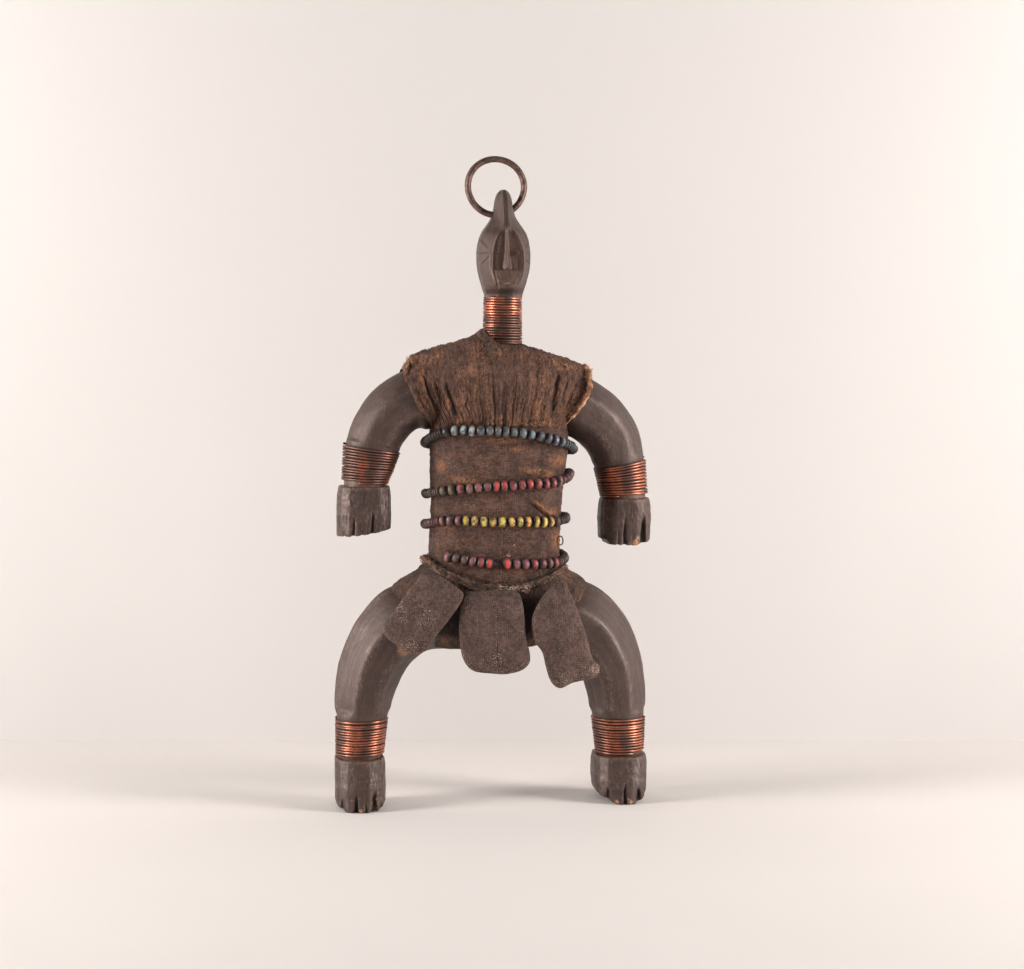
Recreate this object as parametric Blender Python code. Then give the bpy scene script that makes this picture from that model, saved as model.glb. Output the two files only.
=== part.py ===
"""Namji doll: a carved wooden figure wound with copper wire and dressed in cloth and strings of beads.

The figure faces -Y, its feet stand on Z = 0. Shapes are given in millimetres on the figure's own axes:
x to the viewer's right, y to the back, z up. Right and left in names are the figure's own.
"""
import math
import random

import bmesh
import bpy
from mathutils import Matrix, Vector

MM = 0.001
GAP = 0.35                # between pieces that touch
NAME = "namji_doll"
random.seed(7)

# Driving dimensions, in millimetres
LIMB_SIDES = 12           # corners of a limb's section
WOOD_SIDES = 18           # corners of the torso's section
CLOTH = 2.7               # thickness of the cloth
WIRE = 1.5                # copper wire of the coils
BEAD = 6.2                # diameter of a bead
BEAD_PITCH = 6.7
BELT = 3.2                # diameter of the twisted belt
RING_RADIUS = 16.9        # centreline of the suspension ring
RING_WIRE = 3.7
RING_AT = (2.4, 0.5, 370.6)
NECK_AT = (6.2, 0.5)
NECK_RADIUS = 10.7
NECK_TOP = 307.0
NECK_ROOT = 8.5           # the neck reaches this far into the shoulders
CHIN_STEP = 0.6           # the neck's coil ends this far under the head

# Limb sections from the body outwards: outer edge (x, z), inner edge (x, z), half depth, middle in y,
# squareness (1 is round, small is square)
RIGHT_ARM = (
    ((-30, 271), (-14, 233), 16, 0.5, 0.8),
    ((-43, 267.5), (-31, 229), 17.5, 0.5, 0.8),
    ((-52.5, 263), (-38, 224), 18.5, 0.5, 0.8),
    ((-63, 257.2), (-43, 226.2), 17.8, 0.5, 0.8),
    ((-71.5, 250.6), (-46.5, 224.8), 17.2, 0.5, 0.8),
    ((-78.6, 242), (-50.2, 221.5), 16.6, 0.5, 0.8),
    ((-84, 232.8), (-53.2, 217.6), 16, 0.5, 0.8),
    ((-87, 224.4), (-54.4, 215.8), 15.4, 0.5, 0.85),
)
RIGHT_WRIST = (((-88.2, 219.2), (-56.2, 213.7), 14.7, 0.5), ((-89.4, 195.3), (-64.1, 193.9), 13.3, 0.5))
RIGHT_HAND = (
    ((-93, 190.8), (-61.4, 190.2), 14, 0, 0.45),
    ((-93.6, 178), (-61.2, 178), 14.5, 0, 0.4),
    ((-93.4, 163.4), (-61.4, 168), 12.8, 0, 0.4),
)
LEFT_ARM = (
    ((34, 266), (18, 231), 16, 0.5, 0.8),
    ((47, 262), (35, 227), 17.5, 0.5, 0.8),
    ((59, 257.3), (43.5, 222), 18.5, 0.5, 0.8),
    ((69, 251.2), (49.6, 219.8), 17.8, 0.5, 0.8),
    ((77, 245), (53.8, 216.6), 17.2, 0.5, 0.8),
    ((83.2, 237.4), (57.2, 213), 16.6, 0.5, 0.8),
    ((88.8, 228.3), (59.8, 209), 16, 0.5, 0.8),
    ((92, 217.6), (61.2, 205.8), 15.4, 0.5, 0.85),
)
LEFT_WRIST = (((92.7, 209.6), (63.6, 203.6), 14.6, 0.5), ((94.2, 185.6), (67.8, 185.2), 13.2, 0.5))
LEFT_HAND = (
    ((96.6, 184.1), (66, 184.4), 14, 0, 0.45),
    ((97.6, 174.5), (65.2, 175), 14.5, 0, 0.4),
    ((96.2, 158.2), (66, 159.2), 12.8, 0, 0.4),
)
RIGHT_LEG = (
    ((-34, 138), (-4, 101), 17, 0, 0.75),
    ((-55, 133), (-22, 95), 19, 0, 0.75),
    ((-66, 128.2), (-31, 95), 19.5, 0, 0.75),
    ((-76, 118.6), (-39, 94.3), 19.2, 0, 0.75),
    ((-84, 106.7), (-45.2, 91), 18.8, 0, 0.75),
    ((-90, 92.8), (-51.6, 85), 18, 0, 0.75),
    ((-93.2, 79), (-57, 75.4), 17, 0, 0.75),
    ((-94.6, 64), (-61.4, 63.4), 16, 0, 0.8),
    ((-94.3, 55.8), (-63, 55.4), 15.4, 0, 0.85),
)
RIGHT_ANKLE = (((-94.1, 54.8), (-64.6, 54.4), 14.4, 0), ((-93.6, 30.8), (-67.3, 30.6), 13.6, 0))
RIGHT_FOOT = (
    ((-95.8, 29.2), (-65.2, 29.2), 17, -1, 0.45),
    ((-95.8, 15), (-65.2, 15), 19, -2, 0.4),
    ((-94.4, 0), (-66.2, 0), 19.5, -2.5, 0.4),
)
LEFT_LEG = (
    ((34, 138), (4, 101), 17, 0, 0.75),
    ((55, 133), (19, 95.6), 19, 0, 0.75),
    ((68.6, 125.4), (28, 97), 19.5, 0, 0.75),
    ((79, 114.2), (37, 96), 19.2, 0, 0.75),
    ((86.1, 102), (44.6, 91), 18.8, 0, 0.75),
    ((91.2, 86.4), (52.6, 83), 18, 0, 0.75),
    ((93.1, 77), (56.8, 76), 17, 0, 0.75),
    ((93.9, 64.5), (59.5, 63.6), 16, 0, 0.8),
    ((93.9, 53.8), (60.9, 53.4), 15.4, 0, 0.85),
)
LEFT_ANKLE = (((93.1, 52.6), (62.6, 52.2), 14.4, 0), ((92.2, 28.6), (65.1, 28.4), 13.6, 0))
LEFT_FOOT = (
    ((94.6, 27), (61.6, 27), 17, -1, 0.45),
    ((94.4, 15), (61.4, 15), 19, -2, 0.4),
    ((92.2, 0), (64.4, 0), 19.5, -2.5, 0.4),
)

# Level sections: height, left edge, right edge, half depth, share of the cloth's thickness that lifts it
SHOULDERS = (
    (228, -34.5, 43, 26, 0),
    (240, -38, 48, 25.5, 0),
    (252, -43, 52, 24.5, 0),
    (259, -47, 54.5, 23, 0.2),
    (264, -48.5, 50.5, 21, 0.6),
    (268.3, -45, 41, 18.5, 1),
    (272.6, -34.5, 30, 16, 1),
    (276, -22, 20.5, 14, 1),
    (278.1, -9, 18.6, 12.5, 1),
)
# The neck's coil stands on the shoulders and ends under the head
COIL_FOOT = SHOULDERS[-1][0] + GAP
NECK_FOOT = COIL_FOOT - NECK_ROOT
COIL_TOP = NECK_TOP - CHIN_STEP
BELLY = (
    (154, -38, 40.3, 29.5),
    (168, -37.3, 41.2, 29.6),
    (184, -36.8, 41.8, 29.6),
    (200, -37, 43.8, 29.5),
    (213, -37, 45.8, 29.2),
    (227.6, -37.4, 46, 28.4),
)
HIPS = (
    (93.5, -31, 24, 19),
    (98, -38.5, 31.5, 23),
    (111, -51, 46, 27),
    (122, -58, 54.5, 29),
    (131, -60.8, 59.2, 29.8),
    (136.4, -55.5, 54.5, 29.8),
    (141, -46, 46.3, 29.6),
    (147, -39, 40.6, 29.5),
)
# The forms that cut the cloth reach past it, to the front and to the back
REACH = 2 * max(row[3] for row in BELLY)
# Lower edge of the belly wrap, which hangs in a swag: (x, z)
SWAG = ((-70, 147.6), (-38, 146.6), (-29, 144.4), (-16.5, 138.6), (-5, 135), (13, 135.4), (24, 138),
        (33, 142.4), (40, 147), (70, 148))
# The belt hangs along the swag: (x, z); then its level at the hips and how much higher the back is
BELT_LINE = ((-41, 149.6), (-31, 143.2), (-17, 136.4), (-11, 134.3), (14, 134.6), (24, 137), (33, 140.8),
             (41, 143))
BELT_LEVEL = 147
BELT_BACK = 0.6
# Front outline of the bodice below the shoulders: (x, z)
BODICE = ((-54, 292), (-53.6, 263), (-45, 252.5), (-37.6, 241), (-31.4, 231), (-31, 228.2),
          (47.2, 228.2), (53.4, 238), (59.8, 246), (61.6, 259), (62, 292))

# Small metal: brass at the left eye, and the loop at the left side
EYE_AT = (12.4, -16.2, 330.8)
LOOP_AT = (38.9, -16, 160)

# Head sections: height, half width, face half width, ridge half width, ridge front, face plane, rim, back
HEAD_X = 6.3
HEAD = (
    (306.7, 10.9, 2.6, 1.4, 10.8, 10.6, 10.3, 11.5),
    (308.6, 11.7, 3.2, 1.6, 13.6, 13.4, 13, 14.5),
    (310.4, 12.3, 3.6, 1.8, 16.6, 16.2, 15.6, 16.5),
    (313.2, 13.2, 6.2, 3.2, 16.8, 15.6, 16, 17.6),
    (317, 14.2, 8.2, 2.6, 15.6, 15, 16.4, 18.4),
    (321, 15.1, 9.2, 2.8, 15.4, 14.8, 16.6, 19),
    (322.6, 15.4, 9.4, 2.9, 20, 14.8, 16.6, 19.2),
    (332, 15.9, 9.2, 1.9, 18.8, 14.8, 16.4, 19.4),
    (338, 15, 7.6, 1.5, 17.4, 14.6, 15.8, 18.8),
    (342.5, 13.4, 5, 1.3, 16, 14.2, 14.8, 17.8),
    (346.4, 11.2, 2.6, 1.2, 14.6, 13.2, 12.8, 16.6),
    (350.2, 8.6, 2.2, 1.1, 13.2, 11.8, 10.6, 15.4),
    (353.6, 6.7, 2, 1, 12, 10.6, 9.4, 14.2),
    (358, 5.5, 1.8, 0.9, 10.6, 9.4, 8.2, 12.8),
    (365, 3.9, 1.5, 0.8, 8.4, 7.4, 6.4, 10.2),
    (368.8, 1.9, 0.9, 0.5, 5.6, 5, 4.4, 6.6),
)

# Grooves between fingers and toes: x, foot, top, front of the piece, depth
GROOVES = (
    (-85.2, 158, 182, -13.6, 2.2),
    (-74, 160, 184, -13.6, 2.2),
    (75.4, 150, 176, -13.6, 2.2),
    (86.8, 150, 178, -13.6, 2.8),
    (-87, -5, 9, -21.4, 2),
    (-79.6, -5, 9, -21.4, 2),
    (-72, -5, 9, -21.4, 2),
    (74.4, -5, 13, -21.4, 2),
    (84.2, -5, 9, -21.4, 2),
)

PAD_THICK = 12
# Pads: outline (x, z), thickness, middle in y, turn about the upright axis in degrees
RIGHT_PAD = (((-44.6, 145.5), (-37, 142.6), (-27, 136.4), (-22.2, 131.4), (-24.6, 125), (-31, 116),
              (-38.6, 106.4), (-44, 98.8), (-49.4, 95.6), (-55.4, 97), (-61.6, 101.4), (-67.4, 106),
              (-69.4, 111.4), (-65.4, 118.4), (-58.6, 127.4), (-51, 137.6)), PAD_THICK, -34, -12)
CENTRE_PAD = (((-21.6, 130.6), (-14, 131), (2, 131), (9.4, 129.8), (12.2, 124), (13.8, 116), (14.6, 106),
               (17, 95), (16.4, 89.6), (11.8, 85.6), (3, 83.6), (-4.2, 84), (-16.6, 86), (-22.4, 92.6),
               (-24.4, 102), (-25, 117)), PAD_THICK, -37, 0)
LEFT_PAD = (((31.6, 136.6), (35.8, 135.2), (40.2, 129.8), (46.6, 117.4), (52, 103), (55, 92.6),
             (60, 85.6), (57.4, 79.8), (50.4, 78.4), (42.4, 77), (35, 74.4), (30.4, 78.4),
             (27.6, 87), (24.8, 97.4), (21.6, 108), (20.8, 118), (24, 128.6)), PAD_THICK, -36, 12)

# Bead strands: heights at the right side, right front, middle front, left front and left side,
# and at the back, and the angles in degrees between which the string is seen (0 is the left side)
STRANDS = (
    ((218.6, 226.4, 226.8, 221.4, 214.8), 213, 0, 360),
    ((187.6, 191.4, 193.6, 195, 198.2), 186, 0, 360),
    ((169.4, 174, 173.2, 172, 173.4), 165, 0, 360),
    ((151.5, 152.6, 148, 147.4, 149.6), 153, -135, 136),
)

MATERIALS = {
    "wood": ((0.055, 0.036, 0.030), 0.42, 0.0),
    "iron": ((0.120, 0.070, 0.052), 0.55, 0.9),
    "copper": ((0.560, 0.200, 0.090), 0.34, 1.0),
    "brass": ((0.500, 0.300, 0.090), 0.4, 1.0),
    "bodice_cloth": ((0.080, 0.042, 0.026), 0.85, 0.0),
    "belly_cloth": ((0.095, 0.052, 0.032), 0.85, 0.0),
    "loin_cloth": ((0.060, 0.038, 0.028), 0.88, 0.0),
    "pad_cloth": ((0.095, 0.072, 0.058), 0.9, 0.0),
    "fibre": ((0.150, 0.100, 0.070), 0.9, 0.0),
    "blue_beads": ((0.150, 0.180, 0.170), 0.35, 0.0),
    "red_beads": ((0.300, 0.035, 0.025), 0.35, 0.0),
    "yellow_beads": ((0.420, 0.250, 0.070), 0.4, 0.0),
    "dark_red_beads": ((0.260, 0.035, 0.028), 0.35, 0.0),
}


def clear_scene():
    for item in list(bpy.data.objects):
        bpy.data.objects.remove(item, do_unlink=True)
    for group in list(bpy.data.collections):
        bpy.data.collections.remove(group)


clear_scene()
PARTS = bpy.data.collections.new(NAME)
CUTTERS = bpy.data.collections.new("cutters")
bpy.context.scene.collection.children.link(PARTS)
bpy.context.scene.collection.children.link(CUTTERS)
CUTTERS.hide_render = True
ROOT = bpy.data.objects.new("root", None)
PARTS.objects.link(ROOT)


def material(name):
    found = bpy.data.materials.get(name)
    if found:
        return found
    colour, roughness, metallic = MATERIALS[name]
    made = bpy.data.materials.new(name)
    made.use_nodes = True
    shader = made.node_tree.nodes["Principled BSDF"]
    shader.inputs["Base Color"].default_value = (*colour, 1)
    shader.inputs["Roughness"].default_value = roughness
    shader.inputs["Metallic"].default_value = metallic
    return made


def add(name, bm, look=None):
    """An object from a bmesh: a part with its material, or a cutter where no material is named."""
    bmesh.ops.recalc_face_normals(bm, faces=bm.faces[:])
    mesh = bpy.data.meshes.new(name)
    bm.to_mesh(mesh)
    bm.free()
    item = bpy.data.objects.new(name, mesh)
    if look:
        mesh.materials.append(material(look))
        PARTS.objects.link(item)
        item.parent = ROOT
    else:
        CUTTERS.objects.link(item)
        item.parent = ROOT
        item.display_type = "WIRE"
        item.hide_render = True
    return item


def boolean(item, other, operation):
    cut = item.modifiers.new(other.name, "BOOLEAN")
    cut.operation = operation
    cut.object = other
    cut.solver = "EXACT"


def corners(count, squareness):
    """Corners of a rounded square of half width 1, from round (1) to square (near 0)."""
    found = []
    for k in range(count):
        angle = math.tau * (k + 0.5) / count
        c, s = math.cos(angle), math.sin(angle)
        found.append((math.copysign(abs(c) ** squareness, c), math.copysign(abs(s) ** squareness, s)))
    return found


def stack(rings, closed=False):
    """A body through rings of points with as many corners each, in millimetres."""
    bm = bmesh.new()
    loops = [[bm.verts.new(Vector(p) * MM) for p in ring] for ring in rings]
    count = len(loops[0])
    pairs = list(zip(loops, loops[1:]))
    if closed:
        pairs.append((loops[-1], loops[0]))
    for low, high in pairs:
        for k in range(count):
            nxt = (k + 1) % count
            bm.faces.new((low[k], low[nxt], high[nxt], high[k]))
    if not closed:
        bm.faces.new(loops[0])
        bm.faces.new(loops[-1])
    return bm


def limb_ring(outer, inner, depth, middle, squareness, grow=0.0, count=LIMB_SIDES):
    """Section of a limb in the upright plane through its outer and inner edge."""
    out, inn = Vector((outer[0], 0, outer[1])), Vector((inner[0], 0, inner[1]))
    centre, half = (out + inn) / 2, (out - inn) / 2
    half = half.normalized() * (half.length + grow)
    side = Vector((0, 1, 0)) * (depth + grow)
    centre.y = middle
    return [centre + half * u + side * v for u, v in corners(count, squareness)]


def limb(name, upper, joint, end, grow=0.0, look=None):
    rings = [limb_ring(*row, grow) for row in upper]
    for row in joint:
        rings.append(limb_ring(*row, 1.0, grow - GAP))
    rings += [limb_ring(*row, grow) for row in end]
    return add(name, stack(rings), look)


def sleeve(name, joint, look):
    """The coil round a wrist or an ankle, as a plain tube."""
    shape = []
    for part, grow in ((0.025, GAP), (0.025, GAP + WIRE), (0.975, GAP + WIRE), (0.975, GAP)):
        row = []
        for upper, lower in zip(*joint):
            if isinstance(upper, tuple):
                row.append(tuple(a + (b - a) * part for a, b in zip(upper, lower)))
            else:
                row.append(upper + (lower - upper) * part)
        shape.append(limb_ring(*row, 1.0, grow, 16))
    return add(name, stack(shape, closed=True), look)


def level_ring(z, left, right, depth, grow=0.0, lift=0.0, count=WOOD_SIDES, squareness=0.82, pleat=0.0):
    centre, half = (left + right) / 2, (right - left) / 2
    ring = []
    for k, (u, v) in enumerate(corners(count, squareness)):
        more = grow + (pleat if k % 2 else -pleat)
        ring.append((centre + (half + more) * u, (depth + more) * v + 0.5, z + lift * grow))
    return ring


def tube(points, radii, sides, closed):
    """A tube of changing radius through points given in millimetres."""
    spots = [Vector(p) for p in points]
    count = len(spots)
    rings = []
    for k, spot in enumerate(spots):
        before = spots[(k - 1) % count] if closed or k else spot
        after = spots[(k + 1) % count] if closed or k < count - 1 else spot
        along = (after - before).normalized()
        level = along.cross(Vector((0, 0, 1))).normalized()
        upright = level.cross(along)
        ring = []
        for s in range(sides):
            angle = math.tau * (s + 0.5) / sides
            ring.append(spot + (level * math.cos(angle) + upright * math.sin(angle)) * radii[k])
        rings.append(ring)
    return stack(rings, closed)


def prism(outline, front, back):
    """An outline (x, z) drawn through from front to back."""
    return stack([[(x, front, z) for x, z in outline], [(x, back, z) for x, z in outline]])


def across(points, x):
    """Value on a line of (x, value) points."""
    for (x0, z0), (x1, z1) in zip(points, points[1:]):
        if x <= x1:
            return z0 + (z1 - z0) * max(0.0, (x - x0) / (x1 - x0))
    return points[-1][1]


def head_bmesh(grow=0.0):
    rings = []
    for z, wide, face, ridge, front, plane, rim, back in HEAD:
        half = (
            (ridge, -plane),
            (face, -plane),
            (face + 1.1, -rim),
            (wide, -rim * 0.42),
            (wide, back * 0.3),
            (wide * 0.7, back * 0.8),
        )
        ring = [(HEAD_X, -front, z)]
        ring += [(HEAD_X + x, y, z) for x, y in half]
        ring.append((HEAD_X, back, z))
        ring += [(HEAD_X - x, y, z) for x, y in reversed(half)]
        rings.append(ring)
    return stack(rings)


def neck_ring(radius, z, count=16):
    return [(NECK_AT[0] + radius * u, NECK_AT[1] + radius * v, z) for u, v in corners(count, 1.0)]


def wood(name, grow, look=None):
    """The torso in the round, from the crotch to the neck."""
    rings = []
    inset = grow - CLOTH - GAP
    for z, left, right, depth in HIPS:
        rings.append(level_ring(z + (CLOTH if z < 95 else 0) - (grow if z < 95 else 0),
                                left, right, depth, inset))
    for z, left, right, depth in BELLY:
        rings.append(level_ring(z, left, right, depth, inset))
    for z, left, right, depth, lift in SHOULDERS:
        rings.append(level_ring(z, left, right, depth, grow, lift))
    return add(name, stack(rings), look)


def neck(name, grow, look=None):
    return add(name, stack([neck_ring(NECK_RADIUS + grow, z) for z in (NECK_FOOT, NECK_TOP + CHIN_STEP)]), look)


def cutter_block(name, low, high):
    """A box between two corners in millimetres."""
    bm = bmesh.new()
    bmesh.ops.create_cube(bm, size=MM)
    low, high = Vector(low), Vector(high)
    bmesh.ops.scale(bm, vec=high - low, verts=bm.verts)
    bmesh.ops.translate(bm, vec=(low + high) / 2 * MM, verts=bm.verts)
    return add(name, bm)


def ring_bmesh(at, wide, tall, wire, around, section):
    """An upright ring in the XZ plane, from the half width and half height of its centreline."""
    rings = []
    for k in range(around):
        angle = math.tau * k / around
        out = Vector((math.cos(angle), 0, math.sin(angle)))
        spot = Vector(at) + Vector((wide * out.x, 0, tall * out.z))
        rings.append([spot + (out * u + Vector((0, 1, 0)) * v) * wire / 2 for u, v in corners(section, 1.0)])
    return stack(rings, closed=True)


# Carved figure
torso = wood("carved_figure", 0, "wood")
joined = [
    add("head_form", head_bmesh()),
    neck("neck_form", 0),
    limb("right_arm_form", RIGHT_ARM, RIGHT_WRIST, RIGHT_HAND),
    limb("left_arm_form", LEFT_ARM, LEFT_WRIST, LEFT_HAND),
    limb("right_leg_form", RIGHT_LEG, RIGHT_ANKLE, RIGHT_FOOT),
    limb("left_leg_form", LEFT_LEG, LEFT_ANKLE, LEFT_FOOT),
]
for form in joined:
    boolean(torso, form, "UNION")
grooves = bmesh.new()
for x, foot, top, front, deep in GROOVES:
    made = bmesh.ops.create_cone(grooves, cap_ends=True, segments=4, radius1=deep * MM, radius2=deep * MM,
                                 depth=(top - foot) * MM)["verts"]
    bmesh.ops.translate(grooves, vec=Vector((x, front, (foot + top) / 2)) * MM, verts=made)
boolean(torso, add("finger_and_toe_grooves", grooves), "DIFFERENCE")
crest_hole = ring_bmesh(RING_AT, RING_RADIUS, RING_RADIUS, RING_WIRE + 1.4, 28, 6)
boolean(torso, add("crest_hole", crest_hole), "DIFFERENCE")
boolean(torso, cutter_block("hand_chip", (60, -20, 150), (69, -8, 163)), "DIFFERENCE")

add("suspension_ring", ring_bmesh(RING_AT, RING_RADIUS, RING_RADIUS, RING_WIRE, 28, 6), "iron")

# Coils
inner, outer = NECK_RADIUS + GAP, NECK_RADIUS + GAP + WIRE
add("neck_coil", stack([neck_ring(inner, COIL_FOOT, 20), neck_ring(outer, COIL_FOOT, 20),
                        neck_ring(outer, COIL_TOP, 20), neck_ring(inner, COIL_TOP, 20)], closed=True), "copper")
sleeve("right_wrist_coil", RIGHT_WRIST, "copper")
sleeve("left_wrist_coil", LEFT_WRIST, "copper")
sleeve("right_ankle_coil", RIGHT_ANKLE, "copper")
sleeve("left_ankle_coil", LEFT_ANKLE, "copper")

# Clearance copies of the wood, which leave the gap under the cloth
under = [
    wood("torso_clearance", GAP + 0.3),
    limb("right_arm_clearance", RIGHT_ARM[:6], (), (), GAP),
    limb("left_arm_clearance", LEFT_ARM[:6], (), (), GAP),
]
legs = [
    limb("right_leg_clearance", RIGHT_LEG[:6], (), (), GAP),
    limb("left_leg_clearance", LEFT_LEG[:6], (), (), GAP),
]

# Pleated bodice: a layer over the shoulders, cut to its front outline
rings = []
for z, left, right, depth, lift in SHOULDERS:
    raised = z + (0.15 if z < 229 else 0)
    rings.append(level_ring(raised, left, right, depth, GAP + CLOTH, lift, 36, 0.82, 0.55))
bodice = add("pleated_bodice", stack(rings), "bodice_cloth")
for side, rows in (("right", RIGHT_ARM), ("left", LEFT_ARM)):
    boolean(bodice, limb(side + "_shoulder_cloth", rows[:4], (), (), GAP + CLOTH), "UNION")
boolean(bodice, add("bodice_outline", prism(BODICE, -REACH, REACH)), "INTERSECT")
for form in under:
    boolean(bodice, form, "DIFFERENCE")
collar = add("collar_clearance", stack([neck_ring(outer + GAP, z, 20) for z in (NECK_FOOT, NECK_TOP)]))
boolean(bodice, collar, "DIFFERENCE")

# Belly wrap and loincloth: one layer, parted along the swag
swag_above = list(SWAG) + [(SWAG[-1][0], NECK_TOP), (SWAG[0][0], NECK_TOP)]
swag_below = [(x, z - GAP) for x, z in SWAG] + [(SWAG[-1][0], 0), (SWAG[0][0], 0)]
rings = [level_ring(z, left, right, depth, 0, 0, 20) for z, left, right, depth in HIPS[3:] + BELLY]
belly = add("belly_wrap", stack(rings), "belly_cloth")
boolean(belly, add("above_swag", prism(swag_above, -REACH, REACH)), "INTERSECT")
for form in under + legs:
    boolean(belly, form, "DIFFERENCE")
rings = [level_ring(z, left, right, depth, 0, 0, 20) for z, left, right, depth in HIPS + BELLY[:1]]
loin = add("loincloth", stack(rings), "loin_cloth")
boolean(loin, add("below_swag", prism(swag_below, -REACH, REACH)), "INTERSECT")
boolean(loin, under[0], "DIFFERENCE")
for form in legs:
    boolean(loin, form, "DIFFERENCE")


def girdle(z, angle, clear):
    """Place on a line round the waist, a clearance off the cloth at that height; 0 degrees is the left side."""
    rows = sorted(HIPS + BELLY)
    z_in = min(max(z, rows[0][0]), rows[-1][0])
    left = across([(r[0], r[1]) for r in rows], z_in)
    right = across([(r[0], r[2]) for r in rows], z_in)
    depth = across([(r[0], r[3]) for r in rows], z_in)
    c, s = math.cos(angle), math.sin(angle)
    u = math.copysign(abs(c) ** 0.82, c)
    v = math.copysign(abs(s) ** 0.82, s)
    return ((left + right) / 2 + ((right - left) / 2 + clear) * u, (depth + clear) * v + 0.5, z)


def strand(name, heights, back, start, stop, look):
    """A string of beads: a tube that swells at each bead."""
    line = ((0, heights[4]), (45, heights[3]), (90, heights[2]), (135, heights[1]), (180, heights[0]),
            (270, back), (360, heights[4]))
    fine = []
    for k in range(721):
        angle = k * 0.5
        # the front lies at -90 degrees, so the angle runs from the left side over the front to the right side
        z = across(line, angle)
        fine.append(Vector(girdle(z, -math.radians(angle), GAP + BEAD / 2)))
    first, last = (start, stop)
    if stop - start < 360:
        begin = int(first * 2) % 720
        fine = [fine[k % 720] for k in range(begin, begin + int((last - first) * 2) + 1)]
    lengths = [0.0]
    for a, b in zip(fine, fine[1:]):
        lengths.append(lengths[-1] + (b - a).length)
    beads = round(lengths[-1] / BEAD_PITCH)
    closed = stop - start >= 360
    points, radii = [], []
    stops = 2 * beads if closed else 2 * beads + 1
    place = 0
    for k in range(stops):
        want = lengths[-1] * k / (2 * beads)
        while place < len(lengths) - 2 and lengths[place + 1] < want:
            place += 1
        share = (want - lengths[place]) / max(lengths[place + 1] - lengths[place], 1e-6)
        points.append(fine[place].lerp(fine[place + 1], share))
        radii.append(BEAD * 0.28 if k % 2 == 0 else BEAD / 2)
    return add(name, tube(points, radii, 5, closed), look)


for k, (heights, back, start, stop) in enumerate(STRANDS):
    look = ("blue_beads", "red_beads", "yellow_beads", "dark_red_beads")[k]
    strand("bead_strand_%d" % (k + 1), heights, back, start, stop, look)

# Twisted belt along the swag
points = []
for k in range(36):
    angle = -math.tau * k / 36
    x = girdle(BELT_LEVEL, angle, 0)[0]
    z = across(BELT_LINE, x) + (BELT_BACK if math.sin(angle) > 0 else 0)
    points.append(girdle(z, angle, GAP + BELT / 2 + 0.4))
add("twisted_belt", tube(points, [BELT / 2] * 36, 5, True), "fibre")


def pad(name, outline, thick, middle, turn):
    """A stuffed pad: its outline drawn in at both faces, turned about the upright axis through its middle."""
    centre_x = sum(x for x, z in outline) / len(outline)
    centre_z = sum(z for x, z in outline) / len(outline)
    rings = []
    for share, depth in ((0.55, -0.5), (0.86, -0.4), (1, 0), (0.9, 0.42), (0.6, 0.5)):
        rings.append([((x - centre_x) * share, depth * thick, centre_z + (z - centre_z) * share)
                      for x, z in outline])
    bm = stack(rings)
    bmesh.ops.rotate(bm, cent=(0, 0, 0), matrix=Matrix.Rotation(math.radians(turn), 3, "Z"), verts=bm.verts)
    bmesh.ops.translate(bm, vec=Vector((centre_x, middle, 0)) * MM, verts=bm.verts)
    return add(name, bm, "pad_cloth")


pad("right_pad", *RIGHT_PAD)
pad("centre_pad", *CENTRE_PAD)
pad("left_pad", *LEFT_PAD)

# Small metal
bm = bmesh.new()
bmesh.ops.create_cone(bm, cap_ends=True, segments=10, radius1=1.2 * MM, radius2=1.2 * MM, depth=1.2 * MM)
bmesh.ops.rotate(bm, cent=(0, 0, 0), matrix=Matrix.Rotation(math.radians(90), 3, "X"), verts=bm.verts)
bmesh.ops.translate(bm, vec=Vector(EYE_AT) * MM, verts=bm.verts)
add("eye_tack", bm, "brass")
add("side_loop", ring_bmesh(LOOP_AT, 1.6, 2.7, 0.9, 12, 4), "brass")

# The middle of the footprint of the whole figure goes to the origin
bpy.context.view_layer.update()
graph = bpy.context.evaluated_depsgraph_get()
low, high = Vector((1e9,) * 3), Vector((-1e9,) * 3)
for item in PARTS.objects:
    if item.type == "MESH":
        for corner in item.evaluated_get(graph).bound_box:
            spot = item.matrix_world @ Vector(corner)
            low = Vector(map(min, low, spot))
            high = Vector(map(max, high, spot))
ROOT.location = (-(low.x + high.x) / 2, -(low.y + high.y) / 2, -low.z)
bpy.context.view_layer.update()
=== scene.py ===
"""Namji doll: the looks. Lengths are millimetres on the figure's own axes, until a piece is finished.
x runs to the viewer's right, y to the back, z up; right and left in names are the figure's own."""
import math
import random

import bmesh
import bpy
from mathutils import Matrix, Vector, noise


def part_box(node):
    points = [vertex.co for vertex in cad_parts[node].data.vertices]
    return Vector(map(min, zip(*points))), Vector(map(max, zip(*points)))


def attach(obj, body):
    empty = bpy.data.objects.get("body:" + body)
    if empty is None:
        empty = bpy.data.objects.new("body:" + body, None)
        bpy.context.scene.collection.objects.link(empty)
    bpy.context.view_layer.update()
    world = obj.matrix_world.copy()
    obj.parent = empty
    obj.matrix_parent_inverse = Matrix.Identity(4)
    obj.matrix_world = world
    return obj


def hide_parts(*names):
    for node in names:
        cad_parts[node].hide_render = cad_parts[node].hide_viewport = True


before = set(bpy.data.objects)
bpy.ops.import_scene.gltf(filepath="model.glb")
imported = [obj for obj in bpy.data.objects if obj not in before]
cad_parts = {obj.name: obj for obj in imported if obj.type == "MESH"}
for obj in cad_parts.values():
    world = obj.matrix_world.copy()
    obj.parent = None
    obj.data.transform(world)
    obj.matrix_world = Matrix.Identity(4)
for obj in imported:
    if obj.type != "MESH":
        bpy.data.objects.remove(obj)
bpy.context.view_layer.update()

MM = 0.001
RING_AT = Vector((2.4, 0.5, 370.6))
ring_low, ring_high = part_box("suspension_ring")
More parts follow.
